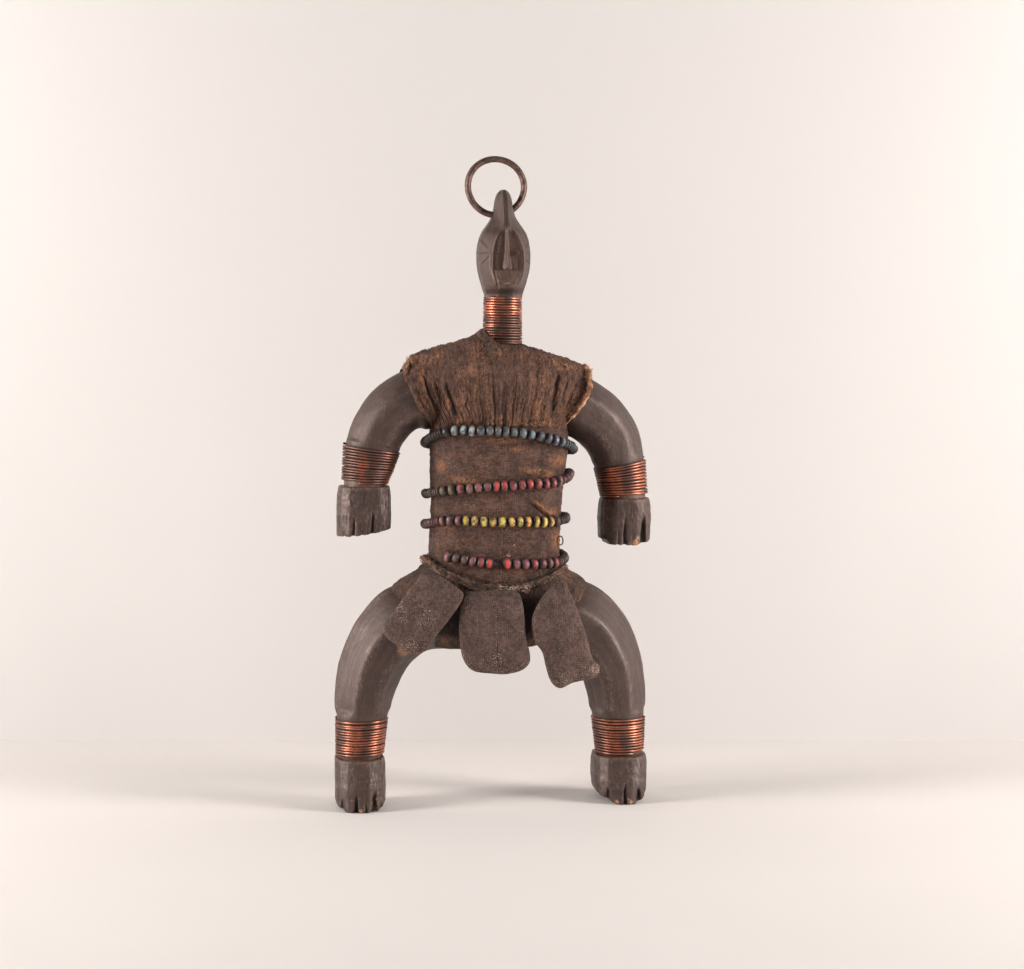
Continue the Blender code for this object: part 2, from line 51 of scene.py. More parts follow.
# From the figure's own axes to the frame, in metres
SHIFT = (Vector(ring_low) + Vector(ring_high)) / 2 - RING_AT * MM

RING_RADIUS = 16.9
RING_WIRE = 3.7
WIRE = 1.5
BEAD = 6.1
NECK = Vector((6.2, 0.5, 0))
NECK_RADIUS = 10.7


# Small mathematics
def clamp(value, low=0.0, high=1.0):
    return max(low, min(high, value))


def ease(low, high, value):
    t = clamp((value - low) / (high - low))
    return t * t * (3 - 2 * t)


def mix(a, b, t):
    return a + (b - a) * t


def across(points, x):
    """Value on a line of (x, value) points."""
    if x <= points[0][0]:
        return points[0][1]
    for (x0, z0), (x1, z1) in zip(points, points[1:]):
        if x <= x1:
            return mix(z0, z1, (x - x0) / (x1 - x0))
    return points[-1][1]


def smooth_rows(rows, t):
    """A row of numbers at share t of the way down a list of rows, on a smooth curve through them."""
    place = clamp(t) * (len(rows) - 1)
    k = min(int(place), len(rows) - 2)
    f = place - k
    p0, p1, p2, p3 = rows[max(k - 1, 0)], rows[k], rows[k + 1], rows[min(k + 2, len(rows) - 1)]
    return [
        0.5 * (2 * b + (c - a) * f + (2 * a - 5 * b + 4 * c - d) * f * f + (3 * b - a - 3 * c + d) * f ** 3)
        for a, b, c, d in zip(p0, p1, p2, p3)
    ]


def rough(x, y, z, scale, octaves=3):
    """Fractal unevenness from about -1 to 1; scale is the size of its largest lumps in millimetres."""
    return noise.fractal(Vector((x, y, z)) / scale, 0.9, 2.1, octaves)


def spot(x, z, spots):
    """How much of a mark is at a place; spots are x, z, half width, half height."""
    most = 0.0
    for sx, sz, wide, tall in spots:
        most = max(most, 1 - math.hypot((x - sx) / wide, (z - sz) / tall) * 0.72)
    return clamp(most)


def gauge(facets, crisp, c, s):
    """Radius in direction (c, s) of a section cut by facets (normal x, normal y, distance)."""
    total = 0.0
    for nx, ny, d in facets:
        towards = (nx * c + ny * s) / d
        if towards > 0:
            total += towards ** crisp
    return total ** (-1.0 / crisp)


# Making and finishing pieces
def grid_form(columns, rows, place, marks=()):
    """A grid laid over a form. place(u, v) gives the point in millimetres, and the values of its marks."""
    bm = bmesh.new()
    layers = [bm.verts.layers.float.new(name) for name in marks]
    bm.loops.layers.uv.new("UVMap")
    bmesh.ops.create_grid(bm, x_segments=columns, y_segments=rows, size=0.5, calc_uvs=True)
    for vert in bm.verts:
        found = place(vert.co.x + 0.5, vert.co.y + 0.5)
        if marks:
            point, values = found
            for layer, value in zip(layers, values):
                vert[layer] = value
        else:
            point = found
        vert.co = point
    bmesh.ops.remove_doubles(bm, verts=bm.verts, dist=0.0005)
    bmesh.ops.recalc_face_normals(bm, faces=bm.faces)
    return bm


def scale_uv(bm, wide, tall):
    """UV in metres, so that a pattern on it has a real scale."""
    layer = bm.loops.layers.uv.active
    for face in bm.faces:
        for loop in face.loops:
            loop[layer].uv.x *= wide * MM
            loop[layer].uv.y *= tall * MM


def finish_piece(name, bm, material, *nodes, slot):
    """From millimetres on the figure's axes to a finished object that rides with the doll."""
    bmesh.ops.scale(bm, vec=(MM, MM, MM), verts=bm.verts)
    bmesh.ops.translate(bm, vec=SHIFT, verts=bm.verts)
    mesh = bpy.data.meshes.new(name)
    bm.to_mesh(mesh)
    bm.free()
    mesh.materials.append(material)
    mesh.shade_smooth()
    piece = bpy.data.objects.new(name, mesh)
    bpy.context.scene.collection.objects.link(piece)
    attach(piece, "root")
    if nodes:
        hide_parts(*nodes)
    return piece


def add_bmesh(target, part):
    """Adds one bmesh to another."""
    mesh = bpy.data.meshes.new("part")
    part.to_mesh(mesh)
    part.free()
    target.from_mesh(mesh)
    bpy.data.meshes.remove(mesh)


def tube_form(points, radius, sides=8, closed=False, marks=(), values=()):
    """A round tube along points, with one radius or one for each point."""
    count = len(points)
    spots = [Vector(p) for p in points]
    radii = radius if hasattr(radius, "__len__") else [radius] * count
    frames = []
    level = None
    for k, spot in enumerate(spots):
        before = spots[k - 1] if k or closed else spot
        after = spots[(k + 1) % count] if k < count - 1 or closed else spot
        along = (after - before).normalized()
        if level is None:
            level = along.orthogonal().normalized()
        level = (level - along * level.dot(along)).normalized()
        frames.append((level, along.cross(level)))
    last = count if closed else count - 1

    def place(u, v):
        k = round(v * last)
        a, b = frames[k % count]
        angle = math.tau * u
        end = not closed and k in (0, last)
        r = 0.0 if end else radii[k % count]
        point = spots[k % count] + (a * math.cos(angle) + b * math.sin(angle)) * r
        return (point, values) if marks else point

    return grid_form(sides, last, place, marks)


def strands_form(paths, radius, sides=4):
    """Loose fibres as thin tubes that taper to both ends."""
    bm = bmesh.new()
    for points in paths:
        count = len(points)
        radii = [radius * (1 - abs(2 * k / (count - 1) - 1) ** 3 * 0.7) for k in range(count)]
        add_bmesh(bm, tube_form(points, radii, sides))
    return bm


# Node groups and materials
def put(tree, kind, inputs=(), **settings):
    """A shader node; inputs are (socket name or number, value or a socket to link)."""
    made = tree.nodes.new(kind)
    for key, value in settings.items():
        setattr(made, key, value)
    for key, value in inputs:
        if isinstance(value, bpy.types.NodeSocket):
            tree.links.new(value, made.inputs[key])
        else:
            made.inputs[key].default_value = value
    return made


def group(name, sockets, outputs):
    tree = bpy.data.node_groups.new(name, "ShaderNodeTree")
    for label, kind, value in sockets:
        made = tree.interface.new_socket(label, in_out="INPUT", socket_type="NodeSocket" + kind)
        if value is not None:
            made.default_value = value
    for label, kind in outputs:
        tree.interface.new_socket(label, in_out="OUTPUT", socket_type="NodeSocket" + kind)
    return tree, put(tree, "NodeGroupInput"), put(tree, "NodeGroupOutput")


# Sockets of a Mix node where it mixes colours
MIX_SHARE, MIX_A, MIX_B, MIX_COLOUR = 0, 6, 7, 2


def colour_mix(tree, a, b, share):
    colours = [(number, (*value, 1) if isinstance(value, tuple) else value)
               for number, value in ((MIX_A, a), (MIX_B, b))]
    return put(tree, "ShaderNodeMix", [(MIX_SHARE, share), *colours], data_type="RGBA").outputs[MIX_COLOUR]


def maths(tree, operation, a, b=0.0, clamped=False):
    return put(tree, "ShaderNodeMath", [(0, a), (1, b)], operation=operation, use_clamp=clamped).outputs[0]


def build_patches():
    """Irregular patches: noise cut between two levels."""
    tree, start, end = group("patches", [
        ("Vector", "Vector", None), ("Scale", "Float", 100.0), ("Detail", "Float", 4.0),
        ("Low", "Float", 0.5), ("High", "Float", 0.6)], [("Mask", "Float"), ("Noise", "Float")])
    cloud = put(tree, "ShaderNodeTexNoise", [
        ("Vector", start.outputs["Vector"]), ("Scale", start.outputs["Scale"]),
        ("Detail", start.outputs["Detail"]), ("Roughness", 0.6)])
    cut = put(tree, "ShaderNodeMapRange", [
        ("Value", cloud.outputs[0]), ("From Min", start.outputs["Low"]), ("From Max", start.outputs["High"])],
        interpolation_type="SMOOTHSTEP")
    tree.links.new(cut.outputs[0], end.inputs["Mask"])
    tree.links.new(cloud.outputs[0], end.inputs["Noise"])
    return tree


def build_weave():
    """Plain weave: threads over and under, on a UV map in metres."""
    tree, start, end = group("plain_weave", [
        ("Vector", "Vector", None), ("Thread", "Float", 0.001), ("Waver", "Float", 0.0004)],
        [("Height", "Float"), ("Thread Tone", "Float")])
    drift = put(tree, "ShaderNodeTexNoise", [("Vector", start.outputs["Vector"]), ("Scale", 160.0)])
    off = put(tree, "ShaderNodeVectorMath", [(0, drift.outputs["Color"]), (1, (0.5, 0.5, 0.5))],
              operation="SUBTRACT")
    scaled = put(tree, "ShaderNodeVectorMath", [(0, off.outputs[0])], operation="SCALE")
    tree.links.new(start.outputs["Waver"], scaled.inputs["Scale"])
    moved = put(tree, "ShaderNodeVectorMath", [(0, start.outputs["Vector"]), (1, scaled.outputs[0])],
                operation="ADD")
    split = put(tree, "ShaderNodeSeparateXYZ", [(0, moved.outputs[0])])
    turns = maths(tree, "DIVIDE", math.pi, start.outputs["Thread"])
    warp = maths(tree, "SINE", maths(tree, "MULTIPLY", split.outputs[0], turns))
    weft = maths(tree, "SINE", maths(tree, "MULTIPLY", split.outputs[1], turns))
    height = maths(tree, "ABSOLUTE", maths(tree, "MULTIPLY", warp, weft))
    tree.links.new(maths(tree, "POWER", height, 0.6), end.inputs["Height"])
    cells = put(tree, "ShaderNodeVectorMath", [(0, moved.outputs[0]), (1, (1, 1, 1))], operation="DIVIDE")
    pace = put(tree, "ShaderNodeCombineXYZ", [
        (0, start.outputs["Thread"]), (1, start.outputs["Thread"]), (2, 1.0)])
    tree.links.new(pace.outputs[0], cells.inputs[1])
    whole = put(tree, "ShaderNodeVectorMath", [(0, cells.outputs[0])], operation="FLOOR")
    tone = put(tree, "ShaderNodeTexWhiteNoise", [("Vector", whole.outputs[0])], noise_dimensions="3D")
    tree.links.new(tone.outputs["Value"], end.inputs["Thread Tone"])
    return tree


PATCHES = build_patches()
WEAVE = build_weave()


def placed(tree, shared, inputs):
    return put(tree, "ShaderNodeGroup", inputs, node_tree=shared)


def patches(tree, where, scale, low, high, detail=4.0):
    made = placed(tree, PATCHES, [
        ("Vector", where), ("Scale", scale), ("Detail", detail), ("Low", low), ("High", high)])
    return made.outputs["Mask"]


def new_material(name):
    made = bpy.data.materials.new(name)
    made.use_nodes = True
    tree = made.node_tree
    return made, tree, tree.nodes["Principled BSDF"]


def object_place(tree):
    return put(tree, "ShaderNodeTexCoord").outputs["Object"]


def toned(colour, factor):
    return tuple(c * factor for c in colour)


def ranged(tree, value, low, high, to_low=0.0, to_high=1.0):
    """A value moved from one range to another."""
    return put(tree, "ShaderNodeMapRange", [
        ("Value", value), ("From Min", low), ("From Max", high), ("To Min", to_low),
        ("To Max", to_high)]).outputs[0]


def mark(tree, name):
    return put(tree, "ShaderNodeAttribute", attribute_name=name).outputs["Fac"]


def stretched(tree, where, scale):
    return put(tree, "ShaderNodeMapping", [("Vector", where), ("Scale", scale)]).outputs[0]


def bump(tree, height, strength, distance, after=None):
    made = put(tree, "ShaderNodeBump", [("Height", height), ("Strength", strength), ("Distance", distance)])
    if after is not None:
        tree.links.new(after, made.inputs["Normal"])
    return made.outputs[0]


def fine_bump(tree, shader, where, scale, detail, strength, distance, after=None):
    """A small unevenness all over a surface."""
    fine = put(tree, "ShaderNodeTexNoise", [("Vector", where), ("Scale", scale), ("Detail", detail)])
    tree.links.new(bump(tree, fine.outputs[0], strength, distance, after), shader.inputs["Normal"])


def wood_material():
    """Dark handled wood: grain along the limb, dull sheen, ridges paler from wear and partly a painted
    highlight, a lighter brown on the face plane that is painted light, and painted shade with some grime in
    the cuts and on covered wood.
    """
    made, tree, shader = new_material("handled_wood")
    where = object_place(tree)
    laid = put(tree, "ShaderNodeUVMap", uv_map="UVMap").outputs[0]
    grain = put(tree, "ShaderNodeTexNoise", [
        ("Vector", stretched(tree, laid, (1500, 60, 1))), ("Scale", 1.0), ("Detail", 5.0),
        ("Roughness", 0.65)])
    cloudy = patches(tree, where, 70, 0.38, 0.66)
    base = colour_mix(tree, (0.022, 0.0115, 0.0105), (0.040, 0.0215, 0.0185), cloudy)
    streak = ranged(tree, grain.outputs[0], 0.35, 0.7)
    base = colour_mix(tree, base, (0.072, 0.042, 0.034), maths(tree, "MULTIPLY", streak, 0.45))
    broad = patches(tree, stretched(tree, laid, (420, 26, 1)), 1.0, 0.40, 0.66, 3.0)
    base = colour_mix(tree, base, (0.066, 0.037, 0.030), maths(tree, "MULTIPLY", broad, 0.55))
    # Paler colour on ridges and sharp edges: wear, and partly a painted highlight along the head's rims and
    # chin corners
    worn_noise = patches(tree, where, 420, 0.45, 0.62, 6.0)
    wear_and_painted_highlight = maths(tree, "MULTIPLY", mark(tree, "ridge"), worn_noise, True)
    base = colour_mix(tree, base, (0.13, 0.085, 0.068), maths(tree, "MULTIPLY", wear_and_painted_highlight, 0.3))
    specks = patches(tree, stretched(tree, laid, (1, 0.35, 1)), 900, 0.66, 0.74, 3.0)
    base = colour_mix(tree, base, (0.20, 0.14, 0.11), maths(tree, "MULTIPLY", specks, 0.35))
    scuffs = maths(tree, "MULTIPLY", patches(tree, stretched(tree, where, (1, 1, 0.3)), 1500, 0.55, 0.65,
                                             3.0),
                   maths(tree, "MULTIPLY", mark(tree, "scuffed"), patches(tree, where, 240, 0.40, 0.60)))
    base = colour_mix(tree, base, (0.24, 0.17, 0.14), maths(tree, "MULTIPLY", scuffs, 0.7))
    # Lighter brown: wax where the limbs meet the hands and feet, and painted light on the head's face plane
    base = colour_mix(tree, base, (0.16, 0.075, 0.045), maths(tree, "MULTIPLY", mark(tree, "waxed"), 0.6))
    chip = mark(tree, "chip")
    base = colour_mix(tree, base, (0.40, 0.21, 0.11), chip)
    # hollow mark: painted shade in cuts, under the coils and cloth, under the chin and beside the nose and
    # crest, with some grime and dark scratch lines
    hollow = mark(tree, "hollow")
    base = colour_mix(tree, base, (0.010, 0.007, 0.006), hollow)
    tree.links.new(base, shader.inputs["Base Color"])
    sheen = ranged(tree, maths(tree, "MULTIPLY", patches(tree, where, 160, 0.3, 0.7), broad), 0, 1, 0.52,
                   0.34)
    shader.inputs["Specular IOR Level"].default_value = 0.65
    shader.inputs["Specular Tint"].default_value = (1.0, 0.84, 0.77, 1)
    tree.links.new(maths(tree, "ADD", sheen, maths(tree, "MULTIPLY", hollow, 0.3), True),
                   shader.inputs["Roughness"])
    low = bump(tree, grain.outputs[0], 0.35, 0.0005)
    fine_bump(tree, shader, where, 700.0, 6.0, 0.35, 0.0004, low)
    return made


def copper_material():
    made, tree, shader = new_material("worn_copper")
    where = object_place(tree)
    # Darker, rougher copper: tarnished patches at random, and the coils' own mark, which holds tarnished wire
    # and painted shade in the middle and at the sides of each coil
    dull = maths(tree, "MAXIMUM", maths(tree, "MULTIPLY", patches(tree, where, 190, 0.42, 0.62), 0.7),
                 maths(tree, "MULTIPLY", mark(tree, "tarnish"), patches(tree, where, 260, 0.15, 0.36)))
    base = colour_mix(tree, (0.68, 0.235, 0.135), (0.150, 0.084, 0.068), dull)
    tree.links.new(base, shader.inputs["Base Color"])
    shader.inputs["Metallic"].default_value = 1.0
    tree.links.new(ranged(tree, dull, 0, 1, 0.26, 0.5), shader.inputs["Roughness"])
    fine_bump(tree, shader, where, 1400.0, 3.0, 0.25, 0.0002)
    return made


def iron_material():
    made, tree, shader = new_material("brown_iron")
    where = object_place(tree)
    base = colour_mix(tree, (0.060, 0.036, 0.030), (0.15, 0.085, 0.062), patches(tree, where, 300, 0.4, 0.62))
    base = colour_mix(tree, base, (0.25, 0.17, 0.13), patches(tree, where, 700, 0.6, 0.7, 6.0))
    tree.links.new(base, shader.inputs["Base Color"])
    shader.inputs["Metallic"].default_value = 0.6
    shader.inputs["Roughness"].default_value = 0.48
    fine_bump(tree, shader, where, 600.0, 6.0, 0.5, 0.0004)
    return made


def cloth_material(name, dark, light, raw, thread, raw_share, run, crust=1.0, speck=(0.34, 0.25, 0.19),
                   specked=0.5):
    """Old cloth stiff with grime: weave, painted shade in the folds and creases, raw orange-brown places and
    pale specks.
    """
    made, tree, shader = new_material(name)
    where = object_place(tree)
    laid = put(tree, "ShaderNodeUVMap", uv_map="UVMap").outputs[0]
    weave = placed(tree, WEAVE, [("Vector", laid), ("Thread", thread), ("Waver", thread * 1.6)])
    base = colour_mix(tree, dark, light, patches(tree, where, 110, 0.36, 0.66, 6.0))
    tone = maths(tree, "MULTIPLY", weave.outputs["Thread Tone"], 0.5)
    base = colour_mix(tree, base, toned(light, 1.7), maths(tree, "MULTIPLY", tone, weave.outputs["Height"]))
    # painted shade in the low places between the threads
    gaps = ranged(tree, weave.outputs["Height"], 0, 0.45, 0.75, 0.0)
    base = colour_mix(tree, base, toned(dark, 0.3), gaps)
    spread = maths(tree, "MULTIPLY", mark(tree, "raw"), patches(tree, where, 650, 0.36, 0.6, 6.0), True)
    drawn = stretched(tree, where, run)
    scattered = maths(tree, "MULTIPLY", patches(tree, drawn, 85, 0.42, 0.68, 4.0),
                      maths(tree, "MULTIPLY", patches(tree, drawn, 1300, 0.50, 0.60, 5.0), raw_share))
    dirt_and_painted_shade = patches(tree, drawn, 520, 0.45, 0.60, 6.0)
    base = colour_mix(tree, base, toned(dark, 0.45), maths(tree, "MULTIPLY", dirt_and_painted_shade, 0.55))
    base = colour_mix(tree, base, raw, maths(tree, "MAXIMUM", spread, scattered))
    pale = maths(tree, "MULTIPLY", patches(tree, where, 1500, 0.57, 0.68, 2.0),
                 maths(tree, "ADD", mark(tree, "pale"), 0.06 * specked))
    base = colour_mix(tree, base, speck, maths(tree, "MULTIPLY", pale, 1.0, True))
    # hollow mark: painted shade in folds, creases and under other parts
    base = colour_mix(tree, base, toned(dark, 0.22), mark(tree, "hollow"))
    tree.links.new(base, shader.inputs["Base Color"])
    shader.inputs["Roughness"].default_value = 0.82
    shader.inputs["Specular IOR Level"].default_value = 0.3
    threads = bump(tree, weave.outputs["Height"], 0.55, thread * 0.35)
    lumps = put(tree, "ShaderNodeTexNoise", [
        ("Vector", where), ("Scale", 520.0), ("Detail", 8.0), ("Roughness", 0.72)])
    tree.links.new(bump(tree, lumps.outputs[0], 0.8, 0.0011 * crust, threads), shader.inputs["Normal"])
    return made


def bead_material():
    made, tree, shader = new_material("old_glass_beads")
    where = object_place(tree)
    own = put(tree, "ShaderNodeAttribute", attribute_name="bead_colour").outputs["Color"]
    base = colour_mix(tree, own, (0.030, 0.021, 0.018),
                      maths(tree, "MULTIPLY", patches(tree, where, 420, 0.48, 0.62, 5.0), 0.85))
    # hollow mark: painted shade, with some grime, between the beads and against the cloth
    base = colour_mix(tree, base, (0.026, 0.018, 0.016), mark(tree, "hollow"))
    tree.links.new(base, shader.inputs["Base Color"])
    sheen = ranged(tree, patches(tree, where, 500, 0.4, 0.6), 0, 1, 0.28, 0.6)
    tree.links.new(sheen, shader.inputs["Roughness"])
    fine_bump(tree, shader, where, 900.0, 4.0, 0.4, 0.0004)
    return made


def matt_material(name, dark, light):
    """Matt, in two tones: cords, loose threads and dull brass."""
    made, tree, shader = new_material(name)
    where = object_place(tree)
    base = colour_mix(tree, dark, light, patches(tree, where, 260, 0.4, 0.62, 5.0))
    tree.links.new(base, shader.inputs["Base Color"])
    shader.inputs["Roughness"].default_value = 0.85
    fine_bump(tree, shader, where, 1600.0, 3.0, 0.5, 0.0003)
    return made


WOOD = wood_material()
COPPER = copper_material()
IRON = iron_material()
BODICE_CLOTH = cloth_material("pleated_cloth", (0.060, 0.030, 0.022), (0.150, 0.076, 0.054),
                              (0.42, 0.18, 0.080), 0.0008, 0.55, (1, 1, 0.4))
BELLY_CLOTH = cloth_material("wrapped_cloth", (0.054, 0.029, 0.022), (0.138, 0.074, 0.056),
                             (0.32, 0.14, 0.062), 0.0009, 0.4, (0.55, 1, 1))
LOIN_CLOTH = cloth_material("dark_cloth", (0.040, 0.023, 0.018), (0.115, 0.066, 0.049),
                            (0.22, 0.10, 0.050), 0.0009, 0.5, (1, 1, 0.6))
PAD_CLOTH = cloth_material("stuffed_cloth", (0.066, 0.038, 0.031), (0.126, 0.075, 0.061),
                           (0.14, 0.095, 0.075), 0.0011, 0.2, (1, 1, 1), 0.5, (0.50, 0.40, 0.31), 1.2)
BEADS = bead_material()
CORD = matt_material("dark_cord", (0.018, 0.012, 0.010), (0.060, 0.040, 0.030))
ROPE = matt_material("belt_fibre", (0.042, 0.025, 0.019), (0.185, 0.105, 0.070))
RAW_THREAD = matt_material("raw_thread", (0.20, 0.082, 0.040), (0.52, 0.27, 0.15))
PALE_THREAD = matt_material("pale_thread", (0.26, 0.13, 0.10), (0.62, 0.42, 0.34))
BRASS = matt_material("dull_brass", (0.045, 0.028, 0.018), (0.24, 0.135, 0.070))


# Carved wood. Limb rows: outer edge x and z, inner edge x and z, half depth, middle in y
ARM_FACETS = ((0.80, -0.60, 0.90), (0.05, -1.0, 0.98), (-0.84, -0.54, 0.95), (0.8, 0.6, 0.9),
              (0.0, 1.0, 0.97), (-0.84, 0.54, 0.95), (1.0, 0.0, 1.02), (-1.0, 0.0, 1.02))
LEG_FACETS = ((0.80, -0.60, 0.86), (0.0, -1.0, 0.97), (-0.86, -0.51, 0.93), (0.8, 0.6, 0.88),
              (0.0, 1.0, 0.97), (-0.84, 0.54, 0.93))
RIGHT_ARM = (
    (-30, 271, -14, 233, 16, 0.5), (-43, 267.5, -31, 229, 17.5, 0.5), (-52.5, 263, -38, 225.5, 18.3, 0.5),
    (-63, 257.2, -43, 226.2, 17.8, 0.5), (-71.5, 250.6, -46.5, 224.8, 17.2, 0.5),
    (-78.6, 242, -50.2, 221.5, 16.6, 0.5), (-84, 232.8, -53.2, 217.6, 16, 0.5),
    (-87.0, 224.4, -54.4, 215.8, 15.4, 0.5), (-88.1, 216.5, -56.6, 211.6, 14.6, 0.5),
    (-88.8, 206, -60.3, 203, 14, 0.5), (-89.3, 193, -64.3, 192, 13.3, 0.5), (-89, 180, -65, 180, 12, 0.5),
)
LEFT_ARM = (
    (34, 266, 18, 231, 16, 0.5), (47, 262, 35, 227, 17.5, 0.5), (59, 257.3, 43.5, 222.6, 18.3, 0.5),
    (69, 251.2, 49.6, 219.8, 17.8, 0.5), (77, 245, 53.8, 216.6, 17.2, 0.5),
    (83.2, 237.4, 57.2, 213, 16.6, 0.5),
    (88.8, 228.3, 59.8, 209, 16, 0.5), (92, 217.6, 61.2, 205.8, 15.2, 0.5),
    (93, 206.5, 63.6, 200.6, 14.4, 0.5),
    (93.7, 195.5, 65.8, 192.5, 13.8, 0.5), (94.2, 183.5, 67.8, 183.2, 13.2, 0.5),
    (93.5, 175, 69, 175, 12, 0.5),
)
RIGHT_LEG = (
    (-34, 138, -4, 101, 17, 0), (-55, 133, -22, 95, 19, 0), (-66, 128.2, -31, 95, 19.5, 0),
    (-76, 118.6, -39, 94.3, 19.2, 0), (-84, 106.7, -45.2, 91, 18.8, 0), (-90, 92.8, -51.6, 85, 18, 0),
    (-93.2, 79, -57, 75.4, 17, 0), (-94.5, 66, -61, 65, 15.8, 0), (-94.3, 55.8, -63.2, 55.4, 14.9, 0),
    (-93.8, 44, -65.4, 44, 14.2, 0), (-93.5, 30.6, -67.4, 30.4, 13.6, 0), (-93, 20, -68, 20, 12, 0),
)
LEFT_LEG = (
    (34, 138, 4, 101, 17, 0), (55, 133, 19, 95.6, 19, 0), (68.6, 125.4, 28, 97, 19.5, 0),
    (79, 114.2, 37, 96, 19.2, 0), (86.1, 102, 44.6, 91, 18.8, 0), (91.2, 86.4, 52.6, 83, 18, 0),
    (93.1, 75, 56.8, 74, 17, 0), (93.9, 64, 59.7, 63.4, 15.8, 0), (93.7, 53.8, 61.3, 53.4, 14.9, 0),
    (92.8, 42, 63.2, 42, 14.2, 0), (92.1, 28.4, 65.2, 28.2, 13.6, 0), (91, 18, 66, 18, 12, 0),
)
WOOD_MARKS = ("ridge", "hollow", "chip", "scuffed", "waxed")
BLOCK_CUTS = 43


def limb_form(rows, facets, crisp, seed, coil, chips=()):
    """A bowed limb with long facets, smooth and round where the coil is wound."""
    columns, rings = 96, 124

    def place(u, v):
        ox, oz, ix, iz, depth, middle = smooth_rows(rows, v)
        centre = Vector(((ox + ix) / 2, middle, (oz + iz) / 2))
        half = Vector(((ox - ix) / 2, 0, (oz - iz) / 2))
        angle = math.tau * u
        c, s = math.cos(angle), math.sin(angle)
        drift = 0.05 * rough(v * 40, seed, 0, 14, 2)
        c2, s2 = math.cos(angle + drift), math.sin(angle + drift)
        facet_r = gauge(facets, crisp, c2, s2)
        soft_r = sum(gauge(facets, crisp, math.cos(angle + drift + d), math.sin(angle + drift + d))
                     for d in (-0.3, 0.3)) / 2
        wound = ease(coil - 0.03, coil + 0.01, v)
        r = mix(facet_r, 0.985, wound)
        edge = clamp((facet_r - soft_r) * 22) * (1 - wound)
        lump = 0.18 * rough(centre.x + c * 12, s * 12 + seed, centre.z, 9) * (1 - wound)
        lump += 0.10 * rough(c * 9 + seed, s * 9, v * 30, 2.2, 2) * (1 - wound)
        end = 0.0 if v in (0.0, 1.0) else 1.0
        point = centre + (half * c * r + Vector((0, depth * s * r, 0)) +
                          (half.normalized() * c + Vector((0, s, 0))) * lump) * end
        chip = 0.0
        for x, z, wide, deep in chips:
            near = math.hypot(point.x - x, (point.z - z) * 0.6) / wide
            if s < 0 and near < 1.6:
                ragged = near + 0.25 * rough(point.x, point.y, point.z, 1.2)
                chip = max(chip, 1 - ease(0.7, 1.1, ragged))
                point.y += deep * (1 - ease(0.5, 1.2, ragged))
        shade = ease(coil + 0.02, coil + 0.04, v) * 0.7 * (1 - ease(0.86, 0.89, v))
        waxed = ease(0.86, 0.89, v) * clamp(0.5 + rough(point.x, point.y, point.z, 2.5))
        return point, (edge, shade, chip, clamp(0.3 + 0.7 * edge), waxed)

    bm = grid_form(columns, rings, place, WOOD_MARKS)
    scale_uv(bm, 105, 170)
    return bm


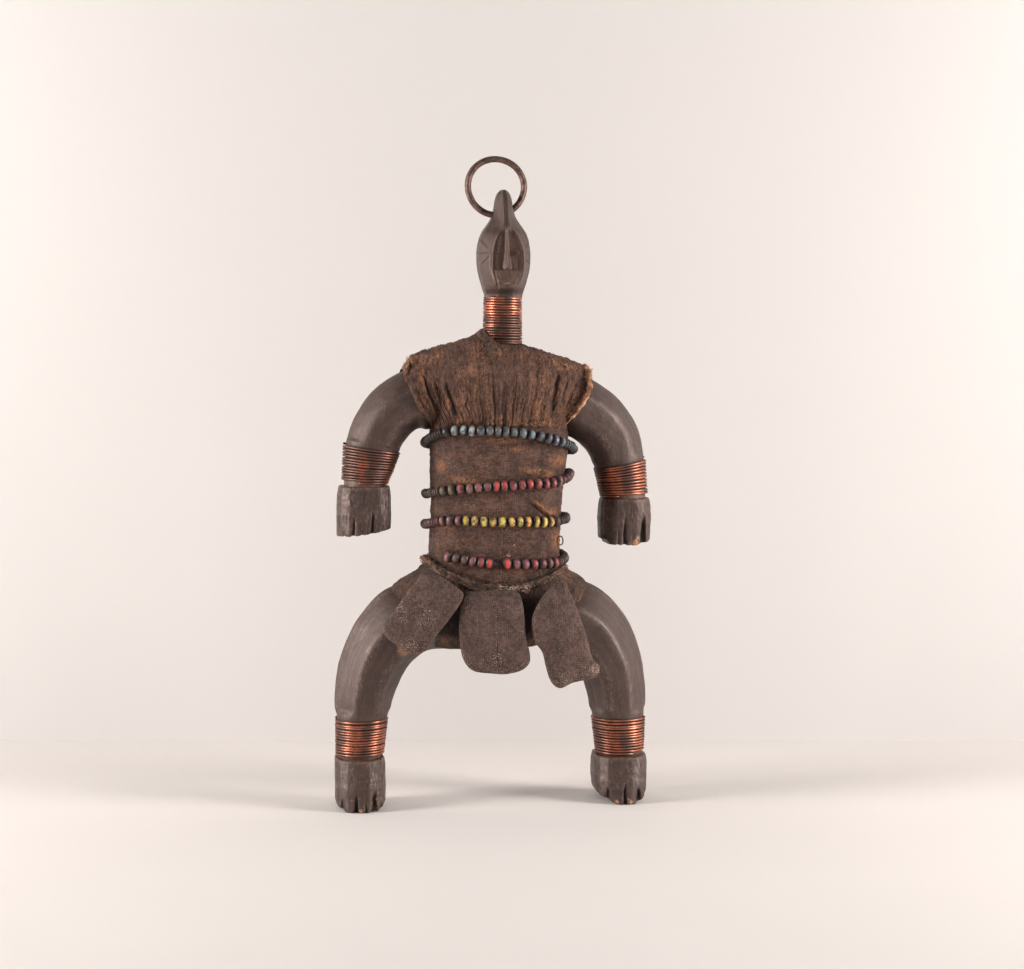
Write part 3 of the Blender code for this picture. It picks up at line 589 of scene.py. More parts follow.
# Hands and feet. Block rows: height, outer x, inner x, front y, back y
def block_form(rows, grooves, foot_line, roundness, bevels, seed, scratches=0.0):
    """A carved block with fingers or toes parted by V cuts.
    Grooves: x at the foot, lean, top, half width, depth.
    Bevels of the front corners, the inner and the outer one: where they start, from 0 in the middle to 1 at
    the side, and depth."""
    bm = bmesh.new()
    ridge, hollow, chip, scuffed, waxed = (bm.verts.layers.float.new(name) for name in WOOD_MARKS)
    bm.loops.layers.uv.new("UVMap")
    bmesh.ops.create_cube(bm, size=2, calc_uvs=True)
    bmesh.ops.subdivide_edges(bm, edges=bm.edges, cuts=BLOCK_CUTS, use_grid_fill=True)
    z_top, z_low = rows[0][0], rows[-1][0]
    table = [[(row[0], row[k]) for row in reversed(rows)] for k in range(5)]
    inner_from, inner_deep, outer_from, outer_deep = bevels
    for vert in bm.verts:
        a, b, t = vert.co
        # square to rounded square
        a2 = a * math.sqrt(1 - roundness * b * b / 2)
        b2 = b * math.sqrt(1 - roundness * a * a / 2)
        draw_in = 1 - 0.10 * ease(0.90, 1.0, -t) - 0.02 * ease(0.95, 1.0, t)
        a2 *= draw_in
        b2 *= draw_in
        share = (t + 1) / 2
        z = mix(z_low, z_top, share)
        outer, inner, front, back = (across(table[k], z) for k in range(1, 5))
        x = mix(inner, outer, (a2 + 1) / 2)
        y = mix(front, back, (b2 + 1) / 2)
        # the lower edge follows its own line
        foot = across(foot_line, x)
        z = mix(foot, z, ease(0, 0.45, share)) if share < 0.45 else z
        towards_front = ease(0.2, 0.9, -b)
        for start, deep, at in ((inner_from, inner_deep, -a), (outer_from, outer_deep, a)):
            slant = 0.45 * clamp((at - start) / (1 - start)) + 0.55 * clamp((at - 0.68) / 0.32)
            y += towards_front * deep * slant
        cut = 0.0
        for gx, lean, top, wide, deep in grooves:
            at = gx + lean * (z - foot) + 0.35 * rough(z, gx, seed, 5, 2)
            rise = clamp((top - z) / (top - foot)) if top > foot else 0
            here = 1 - abs(x - at) / (wide * (0.35 + 0.65 * rise))
            if here > 0 and rise > 0:
                cut = max(cut, min(1.0, here * 1.5) * min(1.0, rise * 3) * clamp(deep / 2))
                y += towards_front * deep * min(1.0, here * 1.3) * min(1.0, rise * 2.2)
                if share < 0.10:
                    z += deep * 1.3 * min(1.0, here * 1.2) * towards_front
        x += 0.16 * rough(x, y, z + seed, 7) + 0.06 * rough(x, y, z + seed, 1.6, 2)
        y += (0.22 * rough(y, x + seed, z, 8)
              + 0.10 * rough(x * 2.5 + seed, y, z * 0.5, 1.6, 2) * (1 + scratches))
        if scratches and towards_front:
            y += 0.25 * scratches * abs(rough(x * 2.2 + seed, 3, z * 0.35, 2.2, 3))
        edge = clamp(abs(a) * abs(b) - 0.72) * 3 + 0.7 * ease(0.93, 1.0, -t)
        vert[ridge] = clamp(edge) * (1 - cut)
        score = clamp(rough(x * 1.6 + seed, 7, z * 0.22, 1.5, 3) * 2.2 - 0.25) * clamp(0.25 + 0.4 * scratches)
        # painted shade in the V cuts, and dark scratch lines on the front
        vert[hollow] = max(clamp(cut * 1.1) * ease(-0.2, 0.6, -b) * 0.85, score * towards_front)
        vert[chip] = 0.0
        vert[scuffed] = clamp(0.45 + 0.4 * scratches)
        vert[waxed] = ease(0.90, 0.97, share) * clamp(0.6 + 1.4 * rough(x, y, z, 2.5))
        vert.co = (x, y, z)
    scale_uv(bm, 60, 60)
    bmesh.ops.recalc_face_normals(bm, faces=bm.faces)
    return bm


def chip_marks(bm, spots):
    """Bare places: x, z, radius, on the front."""
    chip = bm.verts.layers.float["chip"]
    for vert in bm.verts:
        for x, z, wide in spots:
            near = math.hypot(vert.co.x - x, vert.co.z - z) / wide
            if near < 1.5 and vert.co.y < 0:
                ragged = near + 0.3 * rough(vert.co.x, vert.co.y, vert.co.z, 1.0)
                vert[chip] = max(vert[chip], 1 - ease(0.6, 1.0, ragged))


RIGHT_HAND = ((192.9, -92.2, -62.0, -13.6, 13.4), (187, -93.3, -61.3, -14.2, 14),
              (176, -93.6, -61.2, -14.4, 14.2),
              (163.2, -93.4, -61.4, -12.9, 12.6))
LEFT_HAND = ((184.2, 95.6, 66.8, -13.4, 13.2), (180, 96.6, 65.9, -14, 13.8), (171, 97.0, 65.2, -14.4, 14.2),
             (156.4, 96.2, 66.0, -12.9, 12.6))
RIGHT_FOOT = ((30.3, -95.2, -65.8, -17.4, 15.6), (26, -95.3, -65.2, -18.6, 16.2),
              (15, -95.3, -65.2, -20.8, 17),
              (6, -95.2, -65.4, -21.8, 17), (2, -94.4, -67, -21.8, 16.8), (0, -92.8, -69.2, -21.6, 16.6))
LEFT_FOOT = ((28.0, 94.1, 62.4, -17.4, 15.6), (24, 94.7, 61.6, -18.6, 16.2), (14, 94.4, 61.5, -20.8, 17),
             (8, 94, 62.3, -21.6, 17), (4, 92.8, 64.6, -21.8, 16.8), (0, 90.6, 68.6, -21.6, 16.6))


def finish_limb(name, limb, end):
    add_bmesh(limb, end)
    finish_piece(name, limb, WOOD, "carved_figure", slot="wood")


hand = block_form(RIGHT_HAND, [(-84.4, 0.02, 175, 1.3, 1.9), (-73.5, 0.03, 180, 1.5, 2.2),
                               (-79.5, 0, 171, 0.8, 0.9),
                               (-67.6, 0, 172, 0.9, 1.0), (-89.5, 0, 169, 0.8, 0.8)],
                  ((-94, 163.3), (-86, 163.4), (-80, 164.2), (-72, 165.4), (-61, 168.2)), 0.42,
                  (0.62, 3.0, 0.30, 4.6), 5, 1.8)
finish_limb("carved_right_arm", limb_form(RIGHT_ARM, ARM_FACETS, 9, 1, 0.68), hand)
hand = block_form(LEFT_HAND, [(78.6, 0.02, 175, 1.4, 1.8), (90.2, 0.02, 176, 2.6, 4.0),
                              (74.8, 0, 166, 0.7, 0.9),
                              (83.4, 0, 165, 0.6, 0.8)],
                  ((66, 160.0), (69.2, 159.8), (69.8, 156.7), (84, 156.0), (92, 157.1), (97, 159)), 0.42,
                  (0.55, 4.0, 0.35, 4.2), 6, 0.7)
chip_marks(hand, [(85.4, 157.9, 2.3), (87.0, 160.7, 1.0)])
finish_limb("carved_left_arm", limb_form(LEFT_ARM, ARM_FACETS, 12, 2, 0.68), hand)
foot = block_form(RIGHT_FOOT, [(-91.8, 0.0, 8, 1.3, 1.9), (-84.2, 0.02, 11, 1.9, 3.0),
                               (-78.6, 0, 8, 1.0, 1.4),
                               (-73.6, 0.0, 13, 2.2, 3.0), (-69.4, 0, 6, 0.9, 1.4)],
                  ((-96, 4.8), (-94.2, 2.4), (-91.4, 1.2), (-90.6, 0), (-71.4, 0.3), (-69, 1.7), (-66.6, 3.8),
                   (-65, 5.2)), 0.5, (0.28, 4.2, 0.30, 4.6), 7, 0.7)
chip_marks(foot, [(-73.6, 2.4, 1.6), (-74.5, 5.5, 1.2), (-82, 1.2, 1.3), (-72.4, 8, 0.9)])
finish_limb("carved_right_leg", limb_form(RIGHT_LEG, LEG_FACETS, 20, 3, 0.72, [(-55.5, 98.5, 4.0, 0.7)]),
            foot)
foot = block_form(LEFT_FOOT, [(68.4, 0.02, 11, 1.6, 2.6), (77.9, 0.0, 13.4, 1.5, 3.0),
                              (86.6, 0.0, 10.4, 2.2, 3.0),
                              (91.6, -0.03, 9, 1.0, 1.6)],
                  ((61, 9.5), (63.6, 5.6), (66, 3.7), (70.4, 2.5), (71, 0.8), (76, 0), (84.6, 0.2),
                   (87.4, 1.2),
                   (90, 2.4), (92.4, 5), (95, 9)), 0.5, (0.28, 4.6, 0.34, 4.0), 8, 0.7)
chip_marks(foot, [(73, 1.8, 1.3), (81.5, 1.6, 1.4), (79.8, 3.5, 0.8)])
finish_limb("carved_left_leg", limb_form(LEFT_LEG, LEG_FACETS, 20, 4, 0.72), foot)

# Head rows: height, half width of the head, of the rim, of the plane in it and of the ridge; then how far
# to the front the ridge, the plane, the hollow beside it and the rim lie, and how far the back
HEAD_X = 6.7
HEAD = (
    (304.5, 10.9, 3.4, 2.0, 1.0, 10.6, 10.5, 10.4, 10.2, 11.3),
    (306.7, 11.1, 3.6, 2.2, 1.1, 11, 10.9, 10.8, 10.6, 11.8),
    (308.4, 11.6, 4.0, 3.0, 1.6, 13.2, 13.1, 12.8, 12.5, 14.2),
    (309.8, 12.0, 5.0, 4.3, 2.4, 16.4, 16.3, 15.2, 14.8, 16.2),
    (312.5, 12.8, 7.0, 4.9, 2.6, 17.0, 16.7, 15.4, 16, 17.4),
    (317, 14.0, 9.4, 5.6, 3.6, 16.7, 16.5, 15.3, 16.2, 18.4),
    (320.6, 14.8, 10.2, 6.2, 2.8, 16.4, 16.2, 14.9, 16.3, 19),
    (321.7, 15.0, 10.3, 6.2, 2.4, 18.4, 15.4, 14.6, 16.3, 19.1),
    (324, 15.3, 10.4, 6.2, 2.2, 19.4, 15.3, 14.5, 16.3, 19.3),
    (328, 15.5, 10.4, 6.2, 1.5, 18.8, 15.2, 14.4, 16.2, 19.4),
    (333, 15.4, 9.9, 5.8, 1.1, 18.0, 15.1, 14.4, 16.0, 19.4),
    (338, 14.6, 8.4, 4.8, 1.0, 17.2, 14.9, 14.3, 15.7, 18.8),
    (342.5, 13.1, 5.6, 3.4, 1.0, 16.3, 14.4, 14.1, 15.2, 17.8),
    (345.5, 11.4, 3.4, 2.2, 1.1, 15.5, 15.0, 14.6, 13.6, 17),
    (348.5, 9.4, 2.6, 1.6, 1.2, 14.4, 14.1, 13.4, 12.4, 16),
    (352.6, 6.9, 2.4, 1.5, 1.2, 12.7, 12.5, 11.8, 10.6, 14.6),
    (358, 5.5, 2.2, 1.4, 1.1, 11.0, 10.8, 10.2, 8.9, 12.8),
    (363, 4.7, 1.9, 1.3, 1.0, 9.4, 9.2, 8.6, 7.6, 11),
    (366.5, 3.5, 1.5, 1.2, 0.9, 7.6, 7.3, 7.0, 6.2, 9),
    (368.4, 1.9, 0.9, 0.8, 0.5, 5.4, 5.2, 5.0, 4.5, 6.4),
    (368.9, 0.7, 0.4, 0.3, 0.2, 2.2, 2.1, 2.0, 1.8, 2.6),
)
# Cuts in the face and temples: x and z of both ends, half width, depth
CUTS = (
    (-8.0, 339.4, -4.8, 334.2, 0.42, 0.55), (-9.2, 331.0, -3.6, 331.2, 0.42, 0.55),
    (-7.6, 324.8, -4.2, 328.8, 0.42, 0.55),
    (20.6, 338.0, 18.8, 334.6, 0.42, 0.5), (21.2, 325.0, 18.2, 327.2, 0.5, 0.6),
    (21.4, 331.2, 18.4, 331.0, 0.35, 0.4),
    (0.6, 334.0, 0.2, 331.6, 0.30, 0.5), (2.2, 334.8, 1.6, 331.4, 0.30, 0.5),
    (3.4, 334.4, 2.8, 331.0, 0.28, 0.45),
    (0.2, 335.2, 4.2, 334.6, 0.25, 0.35), (0.4, 330.4, 4.0, 330.6, 0.25, 0.35),
    (1.9, 312.9, 6.4, 314.2, 0.36, 0.5), (6.4, 314.2, 10.8, 313.2, 0.36, 0.5),
    (2.1, 312.7, 6.4, 311.6, 0.36, 0.5),
    (6.4, 311.6, 10.6, 312.9, 0.36, 0.5), (13.0, 326.6, 13.2, 322.6, 0.3, 0.3),
    (-2.2, 330.4, -3.0, 323, 0.3, 0.3),
)
HEAD_SPANS = (0.8, 2.4, 1.2, 1.0, 3.0, 3.4, 3.2, 2.4)


def head_form():
    columns, rings = 270, 200
    spans = list(HEAD_SPANS) + list(reversed(HEAD_SPANS))
    total = sum(spans)

    def outline(row):
        z, wide, rim_half, flat, ridge, front, plane, hollow, rim, back = row
        half = ((ridge, -plane), (flat, -plane), (mix(flat, rim_half, 0.55), -hollow), (rim_half, -rim),
                (wide, -rim * 0.42), (wide, back * 0.3), (wide * 0.7, back * 0.8))
        # only the viewer's left has a hollow beside the face
        left = [(-x, y) for x, y in half]
        right = list(half)
        right[1] = (right[1][0], -mix(plane, rim, 0.3))
        right[2] = (right[2][0], -mix(plane, rim, 0.8))
        return [(0, -front)] + right + [(0, back)] + list(reversed(left))

    def along(points, u):
        """Place on the outline at share u, and how near it is to a corner."""
        want = (u % 1.0) * total
        for k, span in enumerate(spans):
            if want <= span or k == len(spans) - 1:
                t = clamp(want / span)
                a, b = points[k], points[(k + 1) % len(points)]
                return mix(a[0], b[0], t), mix(a[1], b[1], t)
            want -= span

    def place(u, v):
        row = smooth_rows(HEAD, v)
        z = row[0]
        if v in (0.0, 1.0):
            # the lowest point, under the chin, gets painted shade
            return Vector((HEAD_X, 0, z)), (0, 0 if v else 0.6, 0, 0, 0)
        points = outline(row)
        xs, ys = zip(*(along(points, u + d) for d in (-0.006, -0.003, 0, 0.003, 0.006)))
        x, y = sum(xs) / 5, sum(ys) / 5
        sharp = math.hypot(x - xs[2], y - ys[2])
        x += HEAD_X
        out = Vector((x - HEAD_X, y, 0)).normalized()
        hollow = 0.0
        push = 0.10 * rough(x, y, z, 6) + 0.05 * rough(x, y, z, 1.5, 2)
        if y < -2:
            for x0, z0, x1, z1, wide, deep in CUTS:
                dx, dz = x1 - x0, z1 - z0
                t = clamp(((x - x0) * dx + (z - z0) * dz) / (dx * dx + dz * dz))
                off = math.hypot(x - x0 - dx * t, z - z0 - dz * t) / wide
                if off < 1:
                    # painted shade, with some grime, in the cut
                    hollow = max(hollow, (1 - off) * 1.2)
                    push -= deep * (1 - off)
        mouth = clamp(1.15 - math.hypot((x - 6.4) / 4.6, (z - 312.9) / 1.7)) if y < 0 else 0.0
        if y < 0:
            beside = x - HEAD_X
            # painted shade beside the nose, on the side of the crest and under the chin
            hollow = max(hollow, 0.85 * spot(x, z, ((8.1, 324, 1.5, 4.5),)))
            crest = ease(344, 347, z) * (1 - ease(365, 367, z))
            hollow = max(hollow, 0.8 * crest * ease(-0.7, 0.1, beside) * (1 - ease(1.5, 2.1, beside)))
            chin = (1 - ease(308.5, 311.5, z)) * (1 - ease(4.2, 5.2, abs(beside)))
            hollow = max(hollow, 0.75 * chin)
            # painted light: the face plane gets a lighter brown, as its front-facing facets are dark under
            # the side lamps
            face = ease(309, 313, z) * (1 - ease(338, 343, z)) * (1 - ease(8, 11, abs(beside)))
        else:
            face = 0.0
        # sharp corners feed the ridge mark: wear, and partly a painted highlight along the rims
        return Vector((x, y, z)) + out * push, (
            clamp(sharp * 6), clamp(hollow) * 0.8, 0.22 * mouth, clamp(0.25 + sharp * 9),
            0.30 * face + 0.2 * mouth)

    bm = grid_form(columns, rings, place, WOOD_MARKS)
    scale_uv(bm, 100, 70)
    return bm


def neck_and_trunk():
    """The neck under its coil and the trunk under the cloth."""
    rows = ((100, -28, 24, 19), (110, -42, 38, 22), (131, -54, 52, 26), (140, -44, 44, 26),
            (150, -34, 36.5, 25.5),
            (190, -33.5, 38.8, 25.8), (226, -34, 42, 25), (240, -37.5, 47.5, 25), (252, -42.5, 51.5, 24),
            (259, -46, 53.5, 22.5), (264, -47, 49, 20), (267, -43, 39.5, 17), (270.4, -32, 27.5, 14.4),
            (272.8, -18, 18, 12.2), (274.6, -6, 16.7, 10.6), (283, -4.4, 16.8, 10.6), (309, -3.6, 16.6, 10.1))

    def place(u, v):
        z, left, right, depth = smooth_rows(rows, v)
        angle = math.tau * u
        c, s = math.cos(angle), math.sin(angle)
        shape = 0.85
        r = 0.0 if v in (0.0, 1.0) else 1.0
        x = (left + right) / 2 + (right - left) / 2 * math.copysign(abs(c) ** shape, c) * r
        # painted shade all over: the neck lies under its coil and the trunk under the cloth
        return Vector((x, 0.5 + depth * math.copysign(abs(s) ** shape, s) * r, z)), (0.0, 0.7, 0.0, 0.0, 0.0)

    bm = grid_form(64, 90, place, WOOD_MARKS)
    scale_uv(bm, 200, 200)
    return bm


trunk = head_form()
add_bmesh(trunk, neck_and_trunk())
finish_piece("carved_head_and_trunk", trunk, WOOD, "carved_figure", slot="wood")


# Suspension ring: forged, a little uneven
def ring_form():
    def place(u, v):
        turn, angle = math.tau * v, math.tau * u
        out = Vector((math.cos(turn), 0.08 * math.sin(turn), 0.985 * math.sin(turn)))
        thick = RING_WIRE / 2 + 0.07 * rough(math.cos(turn) * 9, 0, math.sin(turn) * 9, 5)
        bulge = thick * (1 + 0.05 * math.cos(4 * angle))
        reach = RING_RADIUS + 0.12 * math.sin(3 * turn + 0.5)
        return RING_AT + out * (reach + bulge * math.cos(angle)) + Vector((0, bulge * math.sin(angle), 0))

    return grid_form(24, 150, place)


finish_piece("hanging_ring", ring_form(), IRON, "suspension_ring", slot="iron")


# Coils of copper wire
WIRE_SIDES = 8
STEPS_A_TURN = 44


def coil_form(top, foot, middle, pitch, seed, tarnish):
    """Wire wound round a limb between two sections. Sections: outer x and z, inner x and z, half depth."""
    length = ((Vector((top[0] + top[2], 0, top[1] + top[3]))
               - Vector((foot[0] + foot[2], 0, foot[1] + foot[3]))) / 2).length
    turns = (length - WIRE) / pitch
    steps = int(turns * STEPS_A_TURN)

    def section(v):
        ox, oz, ix, iz, depth = (mix(a, b, v) for a, b in zip(top, foot))
        centre = Vector(((ox + ix) / 2, middle, (oz + iz) / 2))
        return centre, Vector(((ox - ix) / 2, 0, (oz - iz) / 2)), depth

    points = []
    for k in range(steps + 1):
        v = (k / steps) * (1 - WIRE / length) + WIRE / length / 2
        turn = math.tau * turns * k / steps
        centre, half, depth = section(v)
        reach = half.length + WIRE / 2 + 0.14 * rough(turn * 0.7, seed, 0, 1.8, 2)
        lift = 0.42 * rough(seed * 9, turn * 0.35, 0, 2.4, 3)
        if k < 16:
            lift *= k / 16
        points.append(centre + half.normalized() * reach * math.cos(turn)
                      + Vector((0, (depth + WIRE / 2 + 0.05) * math.sin(turn), lift)))

    def place(u, v):
        k = round(v * steps)
        after, before = points[min(k + 1, steps)], points[max(k - 1, 0)]
        along = (after - before).normalized()
        centre, half, depth = section(k / steps)
        out = points[k] - centre
        out = (out - along * out.dot(along)).normalized()
        side = along.cross(out)
        angle = math.tau * u
        r = 0.0 if k in (0, steps) else WIRE / 2
        dull = tarnish(k / steps, points[k])
        return points[k] + (out * math.cos(angle) + side * math.sin(angle)) * r, (dull,)

    return grid_form(WIRE_SIDES, steps, place, ("tarnish",))


def neck_coil():
    top = (NECK.x + NECK_RADIUS - 0.2, 306.3, NECK.x - NECK_RADIUS + 0.9, 306.3, NECK_RADIUS - 0.5)
    foot = (NECK.x + NECK_RADIUS, 275.0, NECK.x - NECK_RADIUS, 275.0, NECK_RADIUS)

    def dull(v, point):
        low = ease(0.36, 0.46, v + 0.004 * point.x)
        # painted shade in the middle column, between the bright reflections; the lower turns are tarnished
        middle = math.exp(-((point.x - 6) / 3.5) ** 2)
        return clamp(0.35 + 0.6 * low + 0.5 * middle + 0.9 * rough(point.x, point.y, point.z * 1.5, 7))

    return coil_form(top, foot, NECK.y, 1.56, 1, dull)


finish_piece("neck_wire", neck_coil(), COPPER, "neck_coil", slot="copper")

# Each coil: name, node, sections at the top and at the foot, middle in y, pitch, seed, how tarnished it is
# and how strong its painted shade is
LIMB_COILS = (
    ("right_wrist_wire", "right_wrist_coil",
     (-88.2, 218.9, -56.2, 213.4, 14.4), (-89.4, 195.0, -64.1, 193.7, 13.3), 0.5, 1.62, 2, 1.5),
    ("left_wrist_wire", "left_wrist_coil",
     (92.7, 209.4, 63.4, 203.4, 14.3), (94.2, 185.2, 67.8, 184.8, 13.2), 0.5, 1.72, 2.5, 0.9),
    ("right_ankle_wire", "right_ankle_coil",
     (-93.7, 54.4, -64.4, 54.2, 14.3), (-93.6, 31.0, -67.2, 30.9, 13.6), 0.0, 1.62, 3, 0.8),
    ("left_ankle_wire", "left_ankle_coil",
     (93.1, 52.2, 62.4, 51.8, 14.3), (92.2, 28.8, 65.1, 28.6, 13.6), 0.0, 1.70, 4, 0.8),
)


def limb_oxide_and_painted_shade(old, front):
    """Darker in the middle of the front and at the sides: painted shade there, between the two bright
    reflections, over wire that is tarnished all round and in random patches. Front: x of that middle.
    """

    def dull(v, point):
        beside = abs(point.x - front)
        return clamp(old * (0.45 + 0.75 * math.exp(-(beside / 4) ** 2) + 0.7 * ease(9.5, 13, beside))
                     + 0.5 * rough(point.x, point.y, point.z, 8))

    return dull


for name, node, top, foot, middle, pitch, seed, old in LIMB_COILS:
    dull = limb_oxide_and_painted_shade(old, (top[0] + top[2]) / 2 + 1.5)
    finish_piece(name, coil_form(top, foot, middle, pitch, seed, dull), COPPER, node, slot="copper")


# Brass round the left eye, and the wire loop at the left side
def small_ring(name, centre, wide, tall, wire, node, uneven=0.0):
    steps = 28
    points = []
    for k in range(steps):
        angle = math.tau * k / steps
        wobble = uneven * math.sin(3 * angle + 1)
        points.append(Vector(centre) + Vector((math.cos(angle) * wide, wobble, math.sin(angle) * tall)))
    finish_piece(name, tube_form(points, wire / 2, 8, True), BRASS, node, slot="brass")


small_ring("brass_eye", (12.3, -16.6, 330.9), 1.25, 1.35, 0.75, "eye_tack")
small_ring("wire_loop", (38.9, -16, 160), 1.6, 2.6, 0.85, "side_loop", 0.4)


# Cloth round the trunk. Rows: height, left edge, right edge, half depth, all outside the cloth
BELLY = (
    (154, -38, 40.3, 29.5), (168, -37.3, 41.2, 29.6), (184, -36.8, 41.8, 29.6), (200, -37, 43.8, 29.5),
    (213, -37, 45.8, 29.2), (227.6, -37.4, 46, 28.4),
)
HIPS = (
    (93.5, -31, 24, 19), (98, -38.5, 31.5, 23), (111, -51, 46, 27), (122, -58, 54.5, 29),
    (131, -60.8, 59.2, 29.8), (136.4, -55.5, 54.5, 29.8), (141, -46, 46.3, 29.6), (147, -39, 40.6, 29.5),
)
GIRTH = sorted(HIPS + BELLY)
BELT_Z = 146
TO_THE_BELT = sorted(BELLY + ((BELT_Z, -38.6, 41, 30.2), (134, -40, 42, 31)))
SQUARENESS = 0.82
BODY_MIDDLE = 0.5


def girth(rows, z):
    height = clamp(z, rows[0][0], rows[-1][0])
    return [across([(row[0], row[k]) for row in rows], height) for k in (1, 2, 3)]


def waist(z, angle, off=0.0, sizes=None):
    """A place round the trunk, so far off its cloth: 0 is the viewer's right, a quarter turn the front."""
    left, right, depth = sizes or girth(GIRTH, z)
    c, s = math.cos(angle), math.sin(angle)
    u = math.copysign(abs(c) ** SQUARENESS, c)
    v = math.copysign(abs(s) ** SQUARENESS, s)
    return Vector(((left + right) / 2 + ((right - left) / 2 + off) * u, BODY_MIDDLE - (depth + off) * v, z))


def ridged(x, y, z, width=0.16):
    """1 on the lines where the noise crosses nought, falling to 0 beside them."""
    return max(0.0, 1 - abs(noise.noise(Vector((x, y, z)))) / width)


SWAG = ((-70, 147.6), (-38, 146.6), (-29, 144.4), (-16.5, 138.6), (-5, 135), (13, 135.4), (24, 138),
        (33, 142.4),
        (40, 147), (70, 148))
BELLY_RAW = (
    (10.5, 215.6, 6, 1.4), (-22, 198, 7, 2.6), (-14, 196, 5, 2), (15.5, 203.5, 4.5, 1.6), (24, 202, 5, 2.2),
    (30, 200, 4, 2.5), (31, 177.5, 7, 3), (26, 181, 3, 1.5), (-26, 149, 6, 2), (13, 144, 7, 2),
    (37, 208, 6, 4),
    (4, 176, 1.2, 4), (-33, 205, 3, 4), (36, 160, 5, 6), (-30, 170, 5, 2), (2, 221, 14, 2),
)
BELLY_PALE = ((8.8, 165, 2, 8), (-28, 205, 5, 5), (14, 213, 6, 2), (5, 168, 8, 3), (-18, 183, 6, 4),
              (32, 190, 6, 8))


def belly_form():
    columns, rows = 400, 160
    top = 230.5
    cache = {}

    def place(u, v):
        angle = math.tau * u + math.pi
        front = math.sin(angle)
        x_low = waist(BELT_Z, angle).x
        low = mix(BELT_Z, across(SWAG, x_low), ease(-0.1, 0.25, front))
        low += 0.7 * rough(x_low, front * 40, 5, 7)
        z = mix(low, top, v)
        key = round(z * 4)
        if key not in cache:
            cache[key] = girth(TO_THE_BELT, key / 4)
        point = waist(z, angle, 0, cache[key])
        x, y = point.x, point.y
        crease = ridged(x / 26, y / 26, z / 5.2 + 0.02 * x) ** 1.4
        fold = ridged(x / 34 + 7, y / 34, z / 8.5 - 0.03 * x, 0.22) ** 1.5
        lift = 0.55 * rough(x, y, z, 22, 2) + 0.35 * fold - 0.22 * crease
        lift += 0.30 * rough(x * 0.6, y, z, 4.2, 3) + 0.22 * rough(x, y, z * 1.4, 1.3, 2)
        # a slanting tuck on the viewer's right
        slope = (z - 175) + 0.72 * (x - 30)
        near = math.exp(-(slope / 1.1) ** 2) * ease(17, 22, x) * (1 - ease(34, 38, x)) * (y < 0)
        lift -= 1.3 * near
        over = math.exp(-((slope - 2.6) / 1.5) ** 2) * ease(17, 23, x) * (1 - ease(34, 39, x)) * (y < 0)
        lift += 1.0 * over
        lift -= 1.4 * (1 - ease(0, 0.028, v)) + 1.6 * ease(0.975, 1.0, v)
        out = Vector((x - 2, y - BODY_MIDDLE, 0)).normalized()
        raw = spot(x, z, BELLY_RAW) if y < 0 else 0.35 * spot(-x, z, BELLY_RAW)
        raw = max(raw, 0.35 * (1 - ease(0, 0.03, v)), over * 0.9)
        pale = spot(x, z, BELLY_PALE) if y < 0 else 0.2
        # painted shade in the tuck and in the creases, and under the bodice at the top edge
        dark = max(near * 0.9, 0.12 * crease, 0.8 * ease(0.965, 0.985, v))
        return point + out * lift, (raw, pale, dark)

    bm = grid_form(columns, rows, place, ("raw", "pale", "hollow"))
    scale_uv(bm, 232, 88)
    return bm


belly = finish_piece("belly_wrap_cloth", belly_form(), BELLY_CLOTH, "belly_wrap", slot="belly_cloth")


# Bodice: two gathered panels joined over the shoulders
BODY = ((224, -38, 46.5, 28.4), (228, -38.6, 46.8, 28.6), (240, -41, 51, 28.2), (252, -46, 55, 27.4),
        (259, -50, 57.4, 26), (264, -51.5, 53.5, 24), (268.3, -48, 44.2, 21.6), (272.6, -37.6, 33.2, 19),
        (276, -25, 23.6, 17), (281, -12, 22, 15.4))
LEFT_EDGE = ((226, -38.4), (231, -40), (238, -45.4), (245.6, -49.2), (254, -52), (262.6, -54.6), (266, -55))
RIGHT_EDGE = ((226, 41.5), (228.5, 41.9), (234.5, 45.8), (242, 51), (250, 55.2), (258, 57.6), (266, 59))
CREST = ((-56, 262.6), (-53, 264.8), (-49.5, 270.4), (-45, 272.4), (-34, 275.8), (-22, 279), (-8.5, 283.4),
         (-5, 283.4), (1, 280), (8, 279), (17.6, 277.8), (20, 276.6), (29, 274.2), (37, 271.4), (45, 269.4),
         (51, 266.4), (56, 264.6), (60, 261.6))
BODICE_RAW = (
    (-51.5, 269, 6, 6.5), (-55, 264, 4, 4), (-41, 268, 4, 3), (-34.5, 270, 3, 6), (-44, 259, 2.4, 6),
    (-43, 251, 2, 6),
    (-16, 261, 3, 8), (-13, 249, 2.4, 9), (1, 271.4, 3, 1.6), (34, 267, 5, 3), (40, 263, 5, 3),
    (20, 253, 2, 8),
    (24, 236, 6, 5), (22, 243, 2.4, 9), (1, 233.6, 6, 2.6), (30, 231, 6, 3), (-22, 233, 6, 4),
    (-24, 240, 3, 5),
    (12, 232, 9, 2.6), (-29, 243, 2, 6), (-6, 240, 2.4, 8), (41, 236, 4, 5), (30, 257, 2, 6), (46, 231, 5, 3),
)
# Deep folds of the front: x and z at the top and at the foot, half width, depth
DEEP_FOLDS = ((-31, 258, -23, 232, 1.5, 2.0), (36.5, 262, 31, 234, 1.6, 2.2), (43.5, 258, 38, 240, 1.0, 1.3),
              (-19, 250, -17.5, 231, 0.8, 0.7), (9, 256, 7.5, 232, 0.7, 0.5),
              (-44.5, 262, -34, 234, 1.0, 1.5))


def pleat(count):
    """Height of folds numbered along the cloth: 1 at a whole number and 0 halfway between two."""
    return abs(2 * (count % 1) - 1)


